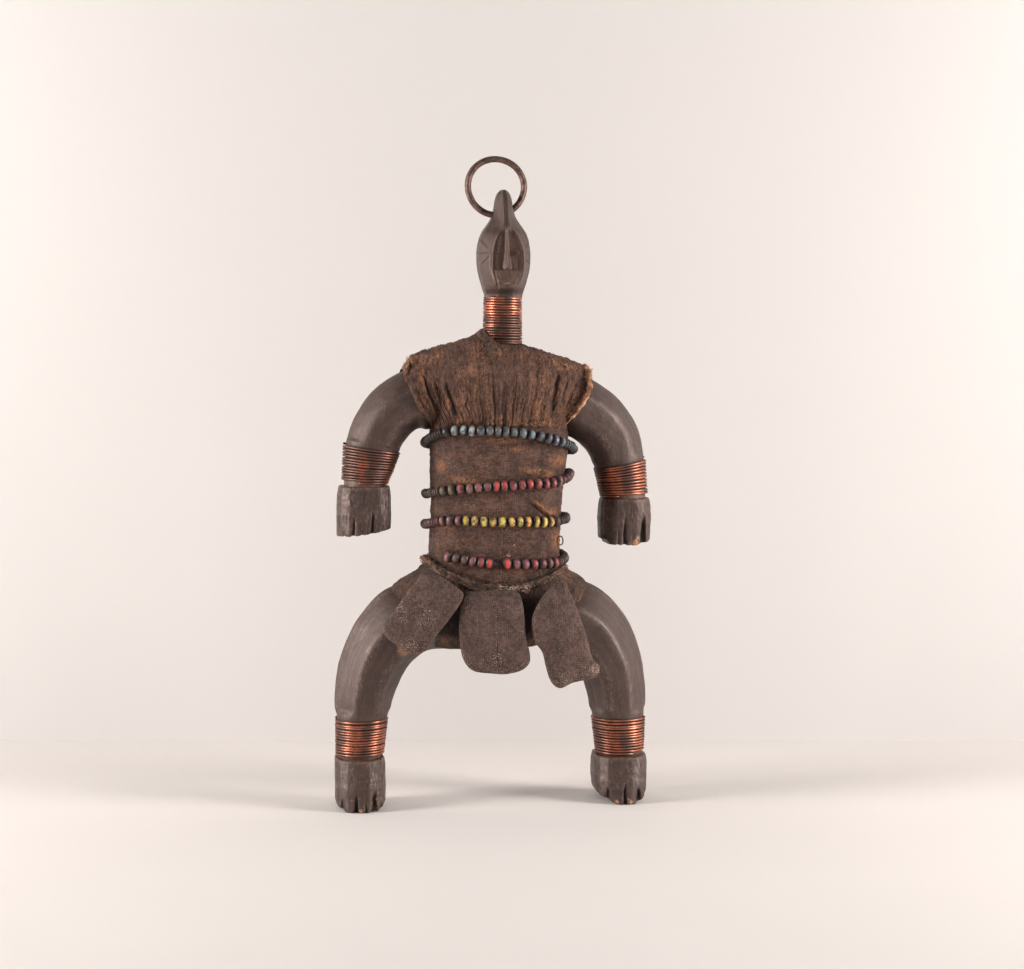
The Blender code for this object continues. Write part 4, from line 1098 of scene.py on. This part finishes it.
def arm_samples(rows):
    found = []
    for k in range(41):
        ox, oz, ix, iz, depth, middle = smooth_rows(rows[:7], k / 40)
        half = Vector(((ox - ix) / 2, 0, (oz - iz) / 2))
        found.append((Vector(((ox + ix) / 2, 0, (oz + iz) / 2)), half.normalized(), half.length, depth))
    return found


SLEEVES = (arm_samples(RIGHT_ARM), arm_samples(LEFT_ARM))


def over_arm(x, z):
    """Half depth of the arm at a place seen from the front."""
    best, deep = 1e9, 0.0
    here = Vector((x, 0, z))
    for centre, up, half, depth in SLEEVES[0 if x < 0 else 1]:
        off = here - centre
        along = abs(off.x * up.z - off.z * up.x)
        if along < best:
            best = along
            share = abs(off.dot(up)) / half
            deep = depth * max(0.0, 1 - share ** 2.2) ** 0.45 if share < 1 else 0.0
    return deep


def over_body(x, z):
    left, right, depth = girth(BODY, z)
    share = abs(x - (left + right) / 2) / ((right - left) / 2)
    return depth * max(0.0, 1 - share ** 2.4) ** (1 / 2.4)


def bodice_form():
    columns, rows = 400, 170
    depth_cache = {}

    def depth_at(x, z):
        key = (round(x * 2), round(z * 2))
        if key not in depth_cache:
            arm = over_arm(x, z) + 2.0 if x < -26 or x > 36 else 0.0
            depth_cache[key] = max(over_body(x, z), arm, 2.5)
        return depth_cache[key]

    def place(u, v):
        turn = clamp((v - 0.36) / 0.28)
        climb = v / 0.36 if v < 0.36 else (1 - v) / 0.36 if v > 0.64 else 1.0
        back = v > 0.5
        x_top = mix(-54.6, 59, u)
        crest = across(CREST, x_top)
        lean = 10 - 4 * ease(30, 50, abs(x_top - 3))
        low = 227.2 + 0.8 * rough(u * 60, 9 if back else 0, 0, 5) + 0.5 * rough(u * 200, 3, 0, 3, 2)
        if not back:
            low += -1.6 * ease(0.75, 1.0, u) + 2.5 * math.exp(-((u - 0.3) / 0.18) ** 2)
        shoulder = crest - lean
        z = mix(low, shoulder, climb)
        reach = mix(226, 262, climb * 0.97)
        x = mix(across(LEFT_EDGE, reach), across(RIGHT_EDGE, reach), u)
        x = mix(x, x_top, ease(0.85, 1.0, climb))
        sway = math.pi * turn
        depth = depth_at(x, z)
        way = Vector((0, -math.cos(sway), math.sin(sway)))
        y = BODY_MIDDLE - depth * math.cos(sway)
        z += lean * math.sin(sway)
        # folds
        deep = pleat(u * 15 + 0.5 * rough(u * 30, v * 14, 0, 10, 2))
        middle = pleat(u * 41 + 0.8 * rough(u * 40, v * 18 + 5, 3, 7, 2))
        fine = pleat(u * 92 + 1.0 * rough(u * 60, v * 30, 8, 5, 2))
        strength = 0.65 + 0.45 * rough(u * 30, v * 6, 2, 6, 2)
        edge_fine = 1 - ease(0.10, 0.2, u)
        gathered = mix(0.35, 1.0, ease(0.05, 0.7, 1 - climb))
        lift = 1.2 * strength * gathered * (deep ** 1.3 - 0.5) + 0.6 * strength * gathered * (middle - 0.5)
        lift += (0.24 + 0.5 * edge_fine) * gathered * (fine - 0.5)
        lift *= 1 - 0.55 * ease(0.2, 0.9, math.sin(sway))
        lift += 0.55 * rough(x, y, z * 0.5, 4.2, 3) + 0.34 * rough(x, y, z * 0.6, 1.5, 2)
        # dark: painted shade in the deep folds and in the grooves between the pleats
        dark = 0.0
        if not back:
            for gx, gz, lx, lz, wide, depth_in in DEEP_FOLDS:
                t = clamp((gz - z) / (gz - lz))
                ends = ease(0, 0.25, t) * (1 - ease(0.75, 1.0, t))
                off = x - mix(gx, lx, t) + 1.6 * rough(gx, lx, z, 7, 2)
                here = math.exp(-(off / (wide * (0.55 + 0.9 * t))) ** 2) * ends
                lift -= depth_in * here
                dark = max(dark, here * clamp(0.35 * depth_in))
        groove = (1 - deep) ** 3 * 0.55 + (1 - middle) ** 3 * 0.5 + (1 - fine) ** 3 * 0.25
        dark = max(dark, 0.7 * gathered * clamp(groove) * clamp(strength))
        # collar: the cloth climbs the neck
        gap = math.hypot(x - NECK.x, y - NECK.y)
        rise = math.exp(-max(0.0, gap - 12.2) / 3.2) * (1 - ease(-6, 3, x))
        z += 3.0 * rise * math.sin(sway) + (0.9 * rough(x, y, 3, 3, 3) - 0.5) * math.sin(sway)
        # edges turn in
        edge = min(u, 1 - u)
        lift -= 1.2 * (1 - ease(0, 0.012, edge)) + 1.0 * (1 - ease(0, 0.02, min(v, 1 - v)))
        raw = spot(x, z, BODICE_RAW) if not back else 0.5 * spot(x, z, BODICE_RAW)
        raw *= clamp(0.55 + 1.3 * rough(x, y, z * 0.2, 1.8, 2))
        raw = max(raw, 0.9 * (1 - ease(0, 0.02, 1 - u)), 0.5 * (1 - ease(0, 0.03, min(v, 1 - v))))
        return Vector((x, y, z)) + way * lift, (raw, 0.25, dark)

    bm = grid_form(columns, rows, place, ("raw", "pale", "hollow"))
    inside = [vert for vert in bm.verts
              if vert.co.z > 270 and math.hypot(vert.co.x - NECK.x, vert.co.y - NECK.y) < 11.0]
    bmesh.ops.delete(bm, geom=inside, context="VERTS")
    scale_uv(bm, 130, 140)
    return bm


bodice = finish_piece("bodice_cloth_piece", bodice_form(), BODICE_CLOTH, "pleated_bodice",
                      slot="bodice_cloth")


# Loincloth
HIP_RAW = ((-50, 128, 6, 9), (51, 120, 4, 13), (43, 139, 8, 4), (-30, 104, 4, 4), (20, 100, 4, 4))


def loin_form():
    columns, rows = 290, 112
    cache = {}

    def place(u, v):
        angle = math.tau * u + math.pi
        z = mix(149.0, 96.5, min(v / 0.82, 1.0))
        key = round(z * 4)
        if key not in cache:
            cache[key] = girth(HIPS, key / 4)
        point = waist(z, angle, -0.2, cache[key])
        x, y = point.x, point.y
        front_side = y < 4
        fold = pleat(u * 34 + 0.8 * rough(u * 30, v * 10, 1, 6, 2) + 2.5 * (v * math.cos(angle)))
        fine = pleat(u * 80 + 1.0 * rough(u * 40, v * 20, 6, 5, 2))
        strength = 0.7 + 0.5 * rough(u * 20, v * 8, 4, 6, 2)
        lift = 0.9 * strength * (fold - 0.6) + 0.3 * (fine - 0.5)
        lift += 0.9 * rough(x, y, z, 9, 2) + 0.6 * rough(x, y, z, 3.5, 3) + 0.14 * rough(x, y, z, 1.2, 2)
        lift *= ease(0, 0.06, v)
        out = Vector((x, y - BODY_MIDDLE, 0)).normalized()
        # painted shade in the fold grooves
        dark = clamp((1 - fold) ** 3 * 0.7 + (1 - fine) ** 3 * 0.3)
        if v > 0.82:
            inward = (v - 0.82) / 0.18
            point = Vector((mix(x, -3.5, inward ** 1.3), mix(y, BODY_MIDDLE, inward ** 1.3),
                            z - 2.2 * math.sin(inward * math.pi / 2) + 0.5 * rough(x, y, 3, 8)))
            lift *= 1 - inward
            # painted shade where the cloth turns in underneath
            dark = max(dark, 0.4 * inward)
        if front_side:
            shadow = (1 - ease(36, 46, abs(x + 2))) * ease(0.25, 0.42, v) * (1 - ease(0.66, 0.76, v))
            dark = max(0.6 * dark, 0.9 * shadow)
        raw = spot(x, z, HIP_RAW) * 0.8
        if v == 1.0:
            point, lift = Vector((-3.5, BODY_MIDDLE, 94.3)), 0.0
        return point + out * lift, (raw, 0.1, dark)

    bm = grid_form(columns, rows, place, ("raw", "pale", "hollow"))
    scale_uv(bm, 300, 90)
    return bm


loin = finish_piece("loin_cloth_piece", loin_form(), LOIN_CLOTH, "loincloth", slot="loin_cloth")


# Beads. Each string: label, heights at the figure's right side, right front, middle front, left front and
# left side, height at the back, and where it starts and ends in degrees
STRINGS = (
    ("1", (218.6, 226.8, 226.4, 219.2, 212.8), 212.0, -180, 180),
    ("2", (187.6, 191.4, 194.4, 195.6, 200.6), 186.0, -180, 180),
    ("3", (169.4, 174.0, 173.2, 172.0, 173.4), 165.0, -180, 180),
    ("4", (151.5, 152.6, 148.0, 147.4, 149.6), 153.0, -135, 136),
)
DARK_BEAD = ((0.045, 0.028, 0.022), (0.060, 0.034, 0.026), (0.034, 0.024, 0.021), (0.075, 0.045, 0.034))
BLUE = ((0.120, 0.145, 0.180), (0.090, 0.102, 0.120), (0.145, 0.160, 0.180), (0.110, 0.114, 0.125))
RED = ((0.44, 0.050, 0.050), (0.34, 0.055, 0.060), (0.52, 0.055, 0.055), (0.26, 0.060, 0.070))
DULL_RED = ((0.20, 0.065, 0.065), (0.26, 0.085, 0.090), (0.15, 0.050, 0.050))
YELLOW = ((0.62, 0.40, 0.075), (0.70, 0.47, 0.10), (0.50, 0.30, 0.07))
PALE_GREEN = ((0.36, 0.42, 0.34), (0.26, 0.30, 0.26))
BROWN_YELLOW = ((0.16, 0.11, 0.045), (0.11, 0.07, 0.035))
# For each string: up to this x at the front, beads of these colours
FRONT_COLOURS = {
    "1": ((-30, DARK_BEAD), (-14, PALE_GREEN), (6, BLUE[1:2] + BLUE[3:]), (14, BLUE[:1]),
          (21, ((0.14, 0.24, 0.30),)),
          (60, BLUE)),
    "2": ((-27, BROWN_YELLOW), (-7, DULL_RED + RED[3:]), (36, RED), (60, DULL_RED)),
    "3": ((-20, DULL_RED), (33, YELLOW), (60, BROWN_YELLOW[1:] + DARK_BEAD[:2])),
    "4": ((-18, DULL_RED), (-9, RED[3:]), (9, RED[2:3]), (38, RED[1:2] + DULL_RED), (60, DARK_BEAD)),
}
BEAD_SLOTS = {"1": "blue_beads", "2": "red_beads", "3": "yellow_beads", "4": "dark_red_beads"}
THREAD_RADIUS = 0.75


def bead_form(bm, centre, along, radius, length, colour, sides, rings, round_end, dark_end):
    """One bead: a barrel with a hole, or a thin disc."""
    level = along.orthogonal().normalized()
    other = along.cross(level)
    hole = 0.30 * radius
    out = Vector((centre.x * 0.4, centre.y, 0)).normalized()

    def place(u, v):
        t = 2 * v - 1
        reach = max(0.0, 1 - abs(t) ** round_end) ** (1 / 2.2)
        r = mix(hole, radius, reach)
        angle = math.tau * u
        spin = level * math.cos(angle) + other * math.sin(angle)
        wobble = 1 + 0.05 * math.sin(2 * angle + centre.x)
        shown = ease(0.1, 0.95, spin.dot(out))
        # painted shade, with some grime, at the bead's ends against its neighbours and on its side towards
        # the cloth
        dirt_and_painted_shade = dark_end * max(ease(0.15, 0.72, abs(t)), 1 - shown)
        return centre + spin * r * wobble + along * t * length / 2, (dirt_and_painted_shade,)

    part = grid_form(sides, rings, place, ("hollow",))
    tint = part.verts.layers.float_color.new("bead_colour")
    for vert in part.verts:
        vert[tint] = (*colour, 1)
    add_bmesh(bm, part)


def bead_string(label, heights, back, start, stop):
    # 0 degrees is the viewer's right, 90 the front, 180 the viewer's left
    profile = ((-90, back), (0, heights[4]), (45, heights[3]), (90, heights[2]), (135, heights[1]),
               (180, heights[0]), (270, back))
    places = []
    steps = 1440
    for k in range(steps + 1):
        degrees = mix(start, stop, k / steps)
        folded = (degrees + 90) % 360 - 90
        smooth = sum(across(profile, (folded + d + 90) % 360 - 90) for d in (-12, -6, 0, 6, 12)) / 5
        places.append(waist(smooth, math.radians(degrees), BEAD / 2))
    lengths = [0.0]
    for a, b in zip(places, places[1:]):
        lengths.append(lengths[-1] + (b - a).length)

    def at(want):
        want = clamp(want, 0, lengths[-1])
        low, high = 0, len(lengths) - 1
        while high - low > 1:
            middle = (low + high) // 2
            if lengths[middle] <= want:
                low = middle
            else:
                high = middle
        share = (want - lengths[low]) / max(lengths[high] - lengths[low], 1e-6)
        return places[low].lerp(places[high], share)

    bm = bmesh.new()
    bm.verts.layers.float.new("hollow")
    bm.verts.layers.float_color.new("bead_colour")
    spot_along = 0.4
    draw = random.Random(int(label) * 7 + 3)
    while spot_along < lengths[-1] - 0.8:
        here = at(spot_along)
        front = here.y < -21
        if front:
            long = draw.uniform(4.6, 5.6)
            radius = BEAD / 2 * draw.uniform(1.04, 1.18)
            gap = draw.uniform(-0.2, 0.4)
        else:
            long = draw.uniform(1.5, 2.3)
            radius = BEAD / 2 * draw.uniform(0.86, 1.0)
            gap = 0.12
        centre = at(spot_along + long / 2)
        if label == "4" and abs(centre.x + 2.8) < 3.5 and centre.y < 0:
            spot_along += 0.5
            continue
        ahead = (at(spot_along + long) - at(spot_along)).normalized()
        ahead = (ahead + Vector((draw.uniform(-0.06, 0.06), 0, draw.uniform(-0.10, 0.10)))).normalized()
        if front or (centre.y < -12 and label in ("1", "2", "4")):
            colours = next(c for limit, c in FRONT_COLOURS[label] if centre.x <= limit)
        elif label == "3" and centre.x < 0 and centre.y < 5:
            colours = DULL_RED
        elif label == "2" and centre.x > 30 and centre.y < 8:
            colours = DULL_RED
        else:
            colours = DARK_BEAD
        colour = [c * draw.uniform(0.8, 1.2) for c in draw.choice(colours)]
        if front:
            bead_form(bm, centre, ahead, radius, long, colour, 20, 12, 2.0, 0.97)
        else:
            bead_form(bm, centre, ahead, radius, long, [c * 0.8 for c in colour], 12, 4, 3.0, 0.9)
        spot_along += long + gap
    finish_piece("beads_on_string_" + label, bm, BEADS, "bead_strand_" + label, slot=BEAD_SLOTS[label])
    thread = [at(lengths[-1] * k / 180) for k in range(181)]
    if stop - start == 360:
        form = tube_form(thread[:-1], THREAD_RADIUS, 6, True)
    else:
        form = tube_form(thread, THREAD_RADIUS, 6)
    finish_piece("string_of_beads_" + label, form, CORD, slot="fibre")


for row in STRINGS:
    bead_string(*row)


# Twisted belt
BELT = ((-41, 149.6), (-31, 143.2), (-17, 136.6), (-11, 134.6), (14, 134.8), (24, 137), (33, 140.8),
        (41, 143.5))


def belt_middle(turn):
    """Middle line of the belt; the front lies at a quarter turn."""
    angle = math.tau * turn
    x = waist(BELT_Z, angle).x
    z = across(BELT, x) if math.sin(angle) > 0 else mix(across(BELT, x), 147.5,
                                                        ease(0, 0.3, -math.sin(angle)))
    return waist(z, angle, 2.2, girth(TO_THE_BELT, z))


def twisted_belt():
    steps = 640
    centre = []
    for k in range(steps):
        near = [belt_middle((k + d) / steps) for d in (-9, -6, -3, 0, 3, 6, 9)]
        centre.append(sum(near, Vector()) / 7)
    bm = bmesh.new()
    for strand in range(3):
        points, radii = [], []
        for k in range(steps):
            along = (centre[(k + 1) % steps] - centre[k - 1]).normalized()
            out = Vector((centre[k].x - 2, centre[k].y, 0)).normalized()
            up = along.cross(out)
            turn = math.tau * (k / steps * 36 + strand / 3)
            wide = 1.0 + 0.35 * rough(k * 0.4, strand * 9, 0, 5, 2)
            points.append(centre[k] + out * math.cos(turn) * wide + up * math.sin(turn) * wide * 1.15)
            radii.append(0.9 + 0.45 * rough(k * 0.5, 3, strand * 9, 3, 2))
        add_bmesh(bm, tube_form(points, radii, 8, True))
    draw = random.Random(5)
    paths = []
    for k in range(420):
        at = draw.uniform(0.26, 0.49) if k % 3 else draw.random()
        start = centre[int(at * steps) % steps]
        along = (centre[(int(at * steps) + 2) % steps] - start).normalized()
        out = Vector((start.x - 2, start.y, 0)).normalized()
        up = along.cross(out)
        long = draw.uniform(3, 9)
        lift, drop = draw.uniform(0.4, 1.5), draw.uniform(-1.4, 1.4)
        base = draw.uniform(-2, 2)
        paths.append([start + along * long * (t / 6 - 0.5) + up * (base + drop * (t / 6)) + out * (
            1.6 + lift * math.sin(math.pi * t / 6 + 0.2)) for t in range(7)])
    add_bmesh(bm, strands_form(paths, 0.22))
    finish_piece("twisted_belt_rope", bm, ROPE, "twisted_belt", slot="fibre")


twisted_belt()


# Padded pieces: name, outline as x and z by turns, middle in y, turn about the height in degrees
PADS = (
    ("right", (-44.6, 145.5, -37, 142.6, -27, 136.4, -22.2, 131.4, -24.6, 125, -31, 116, -38.6, 106.4, -44,
               98.8, -49.4,
               95.6, -55.4, 97, -61.6, 101.4, -67.4, 106, -69.4, 111.4, -65.4, 118.4, -58.6, 127.4, -51,
               137.6), -34, -12),
    ("centre", (-21.4, 131.4, -14, 133, -2, 133.4, 9, 132.4, 12.4, 126, 13.8, 116, 14.6, 106, 17, 95, 16.4,
                89.6, 11.8,
                85.6, 3, 83.6, -4.2, 84, -16.6, 86, -22.4, 92.6, -24.4, 102, -25, 117), -37, 0),
    ("left", (33, 138, 36.6, 139, 41, 131.5, 46.6, 118.6, 52, 103.6, 55, 92.6, 60, 85.6, 57.4, 79.8, 50.4,
              78.4,
              42.4, 77, 35, 74.4, 29.6, 78.4, 26.6, 87, 24.2, 96, 19.2, 103, 17.4, 111, 18, 118.5, 23.4,
              128.4), -36, 12),
)
PAD_HALF = 6.0
# Pale places on the front of each pad: how strong, and the spots
PAD_PALE = {
    "right": (1.3, ((-54, 100, 10, 7), (-44, 118, 6, 8), (-58, 121, 4, 8))),
    "centre": (1.3, ((-3, 93, 5, 7),)),
    "left": (1.5, ((54, 84, 8, 7), (38, 78, 8, 5))),
}
PAD_RAW = ((56, 84, 4, 4), (34, 76, 5, 3), (-60, 100, 3, 2))


def pad_form(name, flat, middle, turn):
    points = [Vector((flat[k], 0, flat[k + 1])) for k in range(0, len(flat), 2)]
    count = len(points)
    centre = sum(points, Vector()) / count
    spin = Matrix.Rotation(math.radians(turn), 3, "Z")
    columns, rows = 200, 96
    top = max(p.z for p in points)
    foot = min(p.z for p in points)

    def rim(u):
        place_on = u * count
        k = int(place_on)
        f = place_on - k
        p0, p1, p2, p3 = (points[(k + d) % count] for d in (-1, 0, 1, 2))
        return 0.5 * (2 * p1 + (p2 - p0) * f + (2 * p0 - 5 * p1 + 4 * p2 - p3) * f * f
                      + (3 * p1 - p0 - 3 * p2 + p3) * f ** 3)

    def place(u, v):
        edge = rim(u % 1.0)
        share = math.sin(math.pi * v)
        side = -1 if v < 0.5 else 1
        point = centre + (edge - centre) * share ** 0.9
        fat = PAD_HALF * abs(math.cos(math.pi * v)) ** 0.74
        low = (top - point.z) / (top - foot)
        fat *= mix(0.62, 1.0, ease(0.0, 0.55, low)) * (1 - 0.15 * ease(0.85, 1.0, low))
        x, z = point.x, point.z
        crease = ridged(x / 9 + 3, side * 3, z / 9, 0.25) ** 2
        lump = 0.5 * rough(x + 50, side * 20, z, 13, 2) + 0.14 * rough(x, side * 9, z, 2.6, 3)
        lump -= 0.35 * crease * share
        y = side * max(0.15, fat + lump * ease(0, 0.35, 1 - share))
        pale = 0.10 + 0.5 * ease(0.75, 1.0, low) + 0.35 * ease(0.9, 1.0, share)
        # painted shade at the top, under the belt, and in the creases
        dark = 0.35 * (1 - ease(0.0, 0.16, low)) + 0.25 * crease
        raw = 0.0
        if side < 0:
            if name == "centre":
                off = (x + 3.4 + 0.4 * rough(z, 1, 0, 6)) / 0.55
                seam = math.exp(-off ** 2) * ease(0.1, 0.3, low) * (1 - ease(0.8, 0.95, low))
                y += 0.5 * seam
                pale = max(pale, seam)
            strong, spots = PAD_PALE[name]
            pale = max(pale, strong * spot(x, z, spots))
            raw = 0.7 * spot(x, z, PAD_RAW)
        back = spin @ Vector((x - centre.x, y, z - centre.z))
        return back + centre + Vector((0, middle, 0)), (raw, pale, dark)

    bm = grid_form(columns, rows, place, ("raw", "pale", "hollow"))
    layer = bm.loops.layers.uv.active
    for face in bm.faces:
        for loop in face.loops:
            loop[layer].uv = (loop.vert.co.x * MM, loop.vert.co.z * MM)
    return bm


for name, flat, middle, turn in PADS:
    form = pad_form(name, flat, middle, turn)
    pad = finish_piece(name + "_stuffed_pad", form, PAD_CLOTH, name + "_pad", slot="pad_cloth")


# Loose threads: frayed edges of the bodice and belt, and the rolled edge of the left armhole
def frayed(name, material, rows, radius, seed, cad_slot):
    """Fibres about lines. Rows: start and end of the line, how many, length, spread, lift to the front."""
    draw = random.Random(seed)
    paths = []
    for start, end, many, long, spread, lift in rows:
        start, end = Vector(start), Vector(end)
        for _ in range(many):
            at = start.lerp(end, draw.random())
            at += Vector((draw.uniform(-1, 1), draw.uniform(-0.5, 0.5), draw.uniform(-1, 1))) * spread
            way = Vector((draw.uniform(-1, 1), -abs(draw.uniform(0, 0.5)), draw.uniform(-1, 1))).normalized()
            bend = Vector((draw.uniform(-1, 1), -0.4, draw.uniform(-1, 1))) * long * 0.35
            size = long * draw.uniform(0.5, 1.2)
            paths.append([at + way * size * (t / 5 - 0.5) + bend * math.sin(math.pi * t / 5)
                          + Vector((0, -lift, 0)) for t in range(6)])
    finish_piece(name, strands_form(paths, radius), material, slot=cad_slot)


frayed("raw_threads_on_bodice", RAW_THREAD, (
    ((57, -12, 263), (56, -20, 250), 60, 3.0, 1.2, 1.0), ((56, -20, 250), (46, -21, 236), 60, 2.6, 1.0, 1.0),
    ((-51, -11, 269.5), (-54, -9, 264), 34, 2.4, 1.2, 0.8),
    ((-10, -29, 231), (28, -29, 230), 60, 2.4, 1.2, 0.8),
    ((-34, -18, 271), (-42, -16, 266), 14, 2.6, 1.5, 0.6),
    ((40, -20, 264), (50, -18, 263), 14, 2.4, 1.2, 0.6),
), 0.13, 21, "bodice_cloth")
frayed("raw_threads_on_belly", RAW_THREAD, (
    ((-26, -29, 198), (-14, -30, 196), 26, 3.0, 1.2, 0.4),
    ((26, -28, 180), (36, -25, 174), 16, 3.0, 0.8, 0.4),
    ((14, -30.5, 203), (26, -29.5, 202), 16, 2.6, 0.8, 0.3),
    ((-39, -14, 149), (-45, -14, 151), 14, 4.0, 1.2, 0.4),
), 0.11, 22, "belly_cloth")
frayed("pale_threads_on_belt", PALE_THREAD, (
    ((-2, -35, 134.6), (16, -35, 133.4), 40, 4.0, 0.9, 0.5),
    ((54, -38, 86), (58, -36, 84), 20, 2.0, 1.4, 2.5),
    ((9, -31, 160), (5, -31, 152), 6, 3.0, 0.6, 0.3),
), 0.12, 23, "fibre")


def rolled_edge():
    """The folded raw edge of the left armhole."""
    line = ((55.4, -4, 264), (56.6, -9, 261.5), (56.8, -14, 257), (55.8, -18.5, 251), (53.8, -20.6, 246),
            (51, -21.6, 241.5), (47.6, -22, 237), (44.6, -22.4, 233.4))
    points, radii = [], []
    for k in range(121):
        points.append(Vector(smooth_rows(line, k / 120)))
        points[-1] += Vector((0.5 * rough(k, 0, 3, 9), -0.6, 0.5 * rough(k, 4, 0, 9)))
        radii.append(mix(1.7, 0.7, k / 120) * (1 + 0.5 * rough(k * 0.6, 8, 1, 4)))
    bm = tube_form(points, radii, 20, marks=("raw", "pale", "hollow"), values=(1.0, 0.6, 0.0))
    for vert in bm.verts:
        vert.co += Vector((0.4, -1, 0)) * 0.6 * rough(vert.co.x, vert.co.y, vert.co.z, 1.5)
    finish_piece("rolled_armhole_edge", bm, RAW_THREAD, slot="bodice_cloth")


rolled_edge()


def seam_cord():
    """The dark sewn cord at the neck."""
    line = ((-8.2, -10.5, 284.6), (-7.4, -14, 281), (-6.2, -17.5, 277.5), (-5.0, -19.4, 274),
            (-4.2, -21, 270))
    points = [Vector(smooth_rows(line, k / 60)) + Vector((0.35 * math.sin(k * 0.9), -0.5,
                                                          0.2 * math.cos(k * 1.3)))
              for k in range(61)]
    finish_piece("neck_seam_cord", tube_form(points, 0.8, 8), CORD, slot="fibre")


seam_cord()


# Camera, light and stage
VIEW = math.radians(-8.5)
FACING = Matrix.Rotation(VIEW, 4, "Z")


def aimed(name, data, where, at):
    """An object at a place, in metres before the view is turned, that looks at another place."""
    made = bpy.data.objects.new(name, data)
    bpy.context.scene.collection.objects.link(made)
    start, end = FACING @ Vector(where) + SHIFT, FACING @ Vector(at) + SHIFT
    made.location = start
    made.rotation_euler = (end - start).to_track_quat("-Z", "Y").to_euler()
    return made


def softbox(name, where, at, wide, tall, power, colour=(1, 1, 1)):
    data = bpy.data.lights.new(name, "AREA")
    data.shape = "RECTANGLE"
    data.size, data.size_y = wide, tall
    data.energy = power
    data.color = colour
    return aimed(name, data, where, at)


CAMERA_AT = (0, -1.3, 0.280)
CAMERA_AIM = (0, 0, 0.194)
LIGHT_AIM = (0, 0, 0.19)
WARM = (1.0, 0.95, 0.92)

lens = bpy.data.cameras.new("camera")
lens.lens = 76.2
lens.sensor_width = 36
lens.shift_x = 0.0195
lens.shift_y = -0.0018
bpy.context.scene.camera = aimed("camera", lens, CAMERA_AT, CAMERA_AIM)

for name, x in (("softbox_left", -1.0), ("softbox_right", 1.0)):
    softbox(name, (x, -0.34, 0.40), LIGHT_AIM, 0.34, 0.9, 16.5, WARM)
softbox("softbox_front", (0, -1.6, 1.0), LIGHT_AIM, 0.9, 0.9, 3.0)

world = bpy.data.worlds.new("studio")
world.use_nodes = True
air = world.node_tree.nodes["Background"]
air.inputs["Color"].default_value = (1.0, 0.96, 0.93, 1)
air.inputs["Strength"].default_value = 0.09
bpy.context.scene.world = world
bpy.context.scene.view_settings.view_transform = "Standard"


def backdrop_material(name, low, high):
    """A plain pale surface, seen from its front only, so that the object shows from behind the wall too."""
    made, tree, shader = new_material(name)
    where = object_place(tree)
    tree.links.new(colour_mix(tree, low, high, patches(tree, where, 3, 0.3, 0.7)),
                   shader.inputs["Base Color"])
    shader.inputs["Roughness"].default_value = 0.8
    shader.inputs["Specular IOR Level"].default_value = 0.2
    clear = put(tree, "ShaderNodeBsdfTransparent").outputs[0]
    behind = put(tree, "ShaderNodeNewGeometry").outputs["Backfacing"]
    either = put(tree, "ShaderNodeMixShader", [(0, behind), (1, shader.outputs[0]), (2, clear)])
    tree.links.new(either.outputs[0], tree.nodes["Material Output"].inputs["Surface"])
    return made


def board(name, material, corners):
    """A flat board of the stage, turned to the view."""
    bm = bmesh.new()
    bm.faces.new([bm.verts.new(FACING @ Vector(corner) + SHIFT) for corner in corners])
    mesh = bpy.data.meshes.new(name)
    bm.to_mesh(mesh)
    bm.free()
    mesh.materials.append(material)
    made = bpy.data.objects.new(name, mesh)
    bpy.context.scene.collection.objects.link(made)
    return made


WALL_BACK = 0.20
STAGE_HALF = 3
WALL_TOP = 2.5
floor = board("floor", backdrop_material("pale_floor", (0.70, 0.665, 0.64), (0.72, 0.685, 0.66)),
              [(-STAGE_HALF, -STAGE_HALF, 0), (STAGE_HALF, -STAGE_HALF, 0),
               (STAGE_HALF, WALL_BACK, 0), (-STAGE_HALF, WALL_BACK, 0)])
wall = board("wall", backdrop_material("pale_wall", (0.56, 0.54, 0.525), (0.57, 0.55, 0.535)),
             [(-STAGE_HALF, WALL_BACK, 0), (STAGE_HALF, WALL_BACK, 0),
              (STAGE_HALF, WALL_BACK, WALL_TOP), (-STAGE_HALF, WALL_BACK, WALL_TOP)])
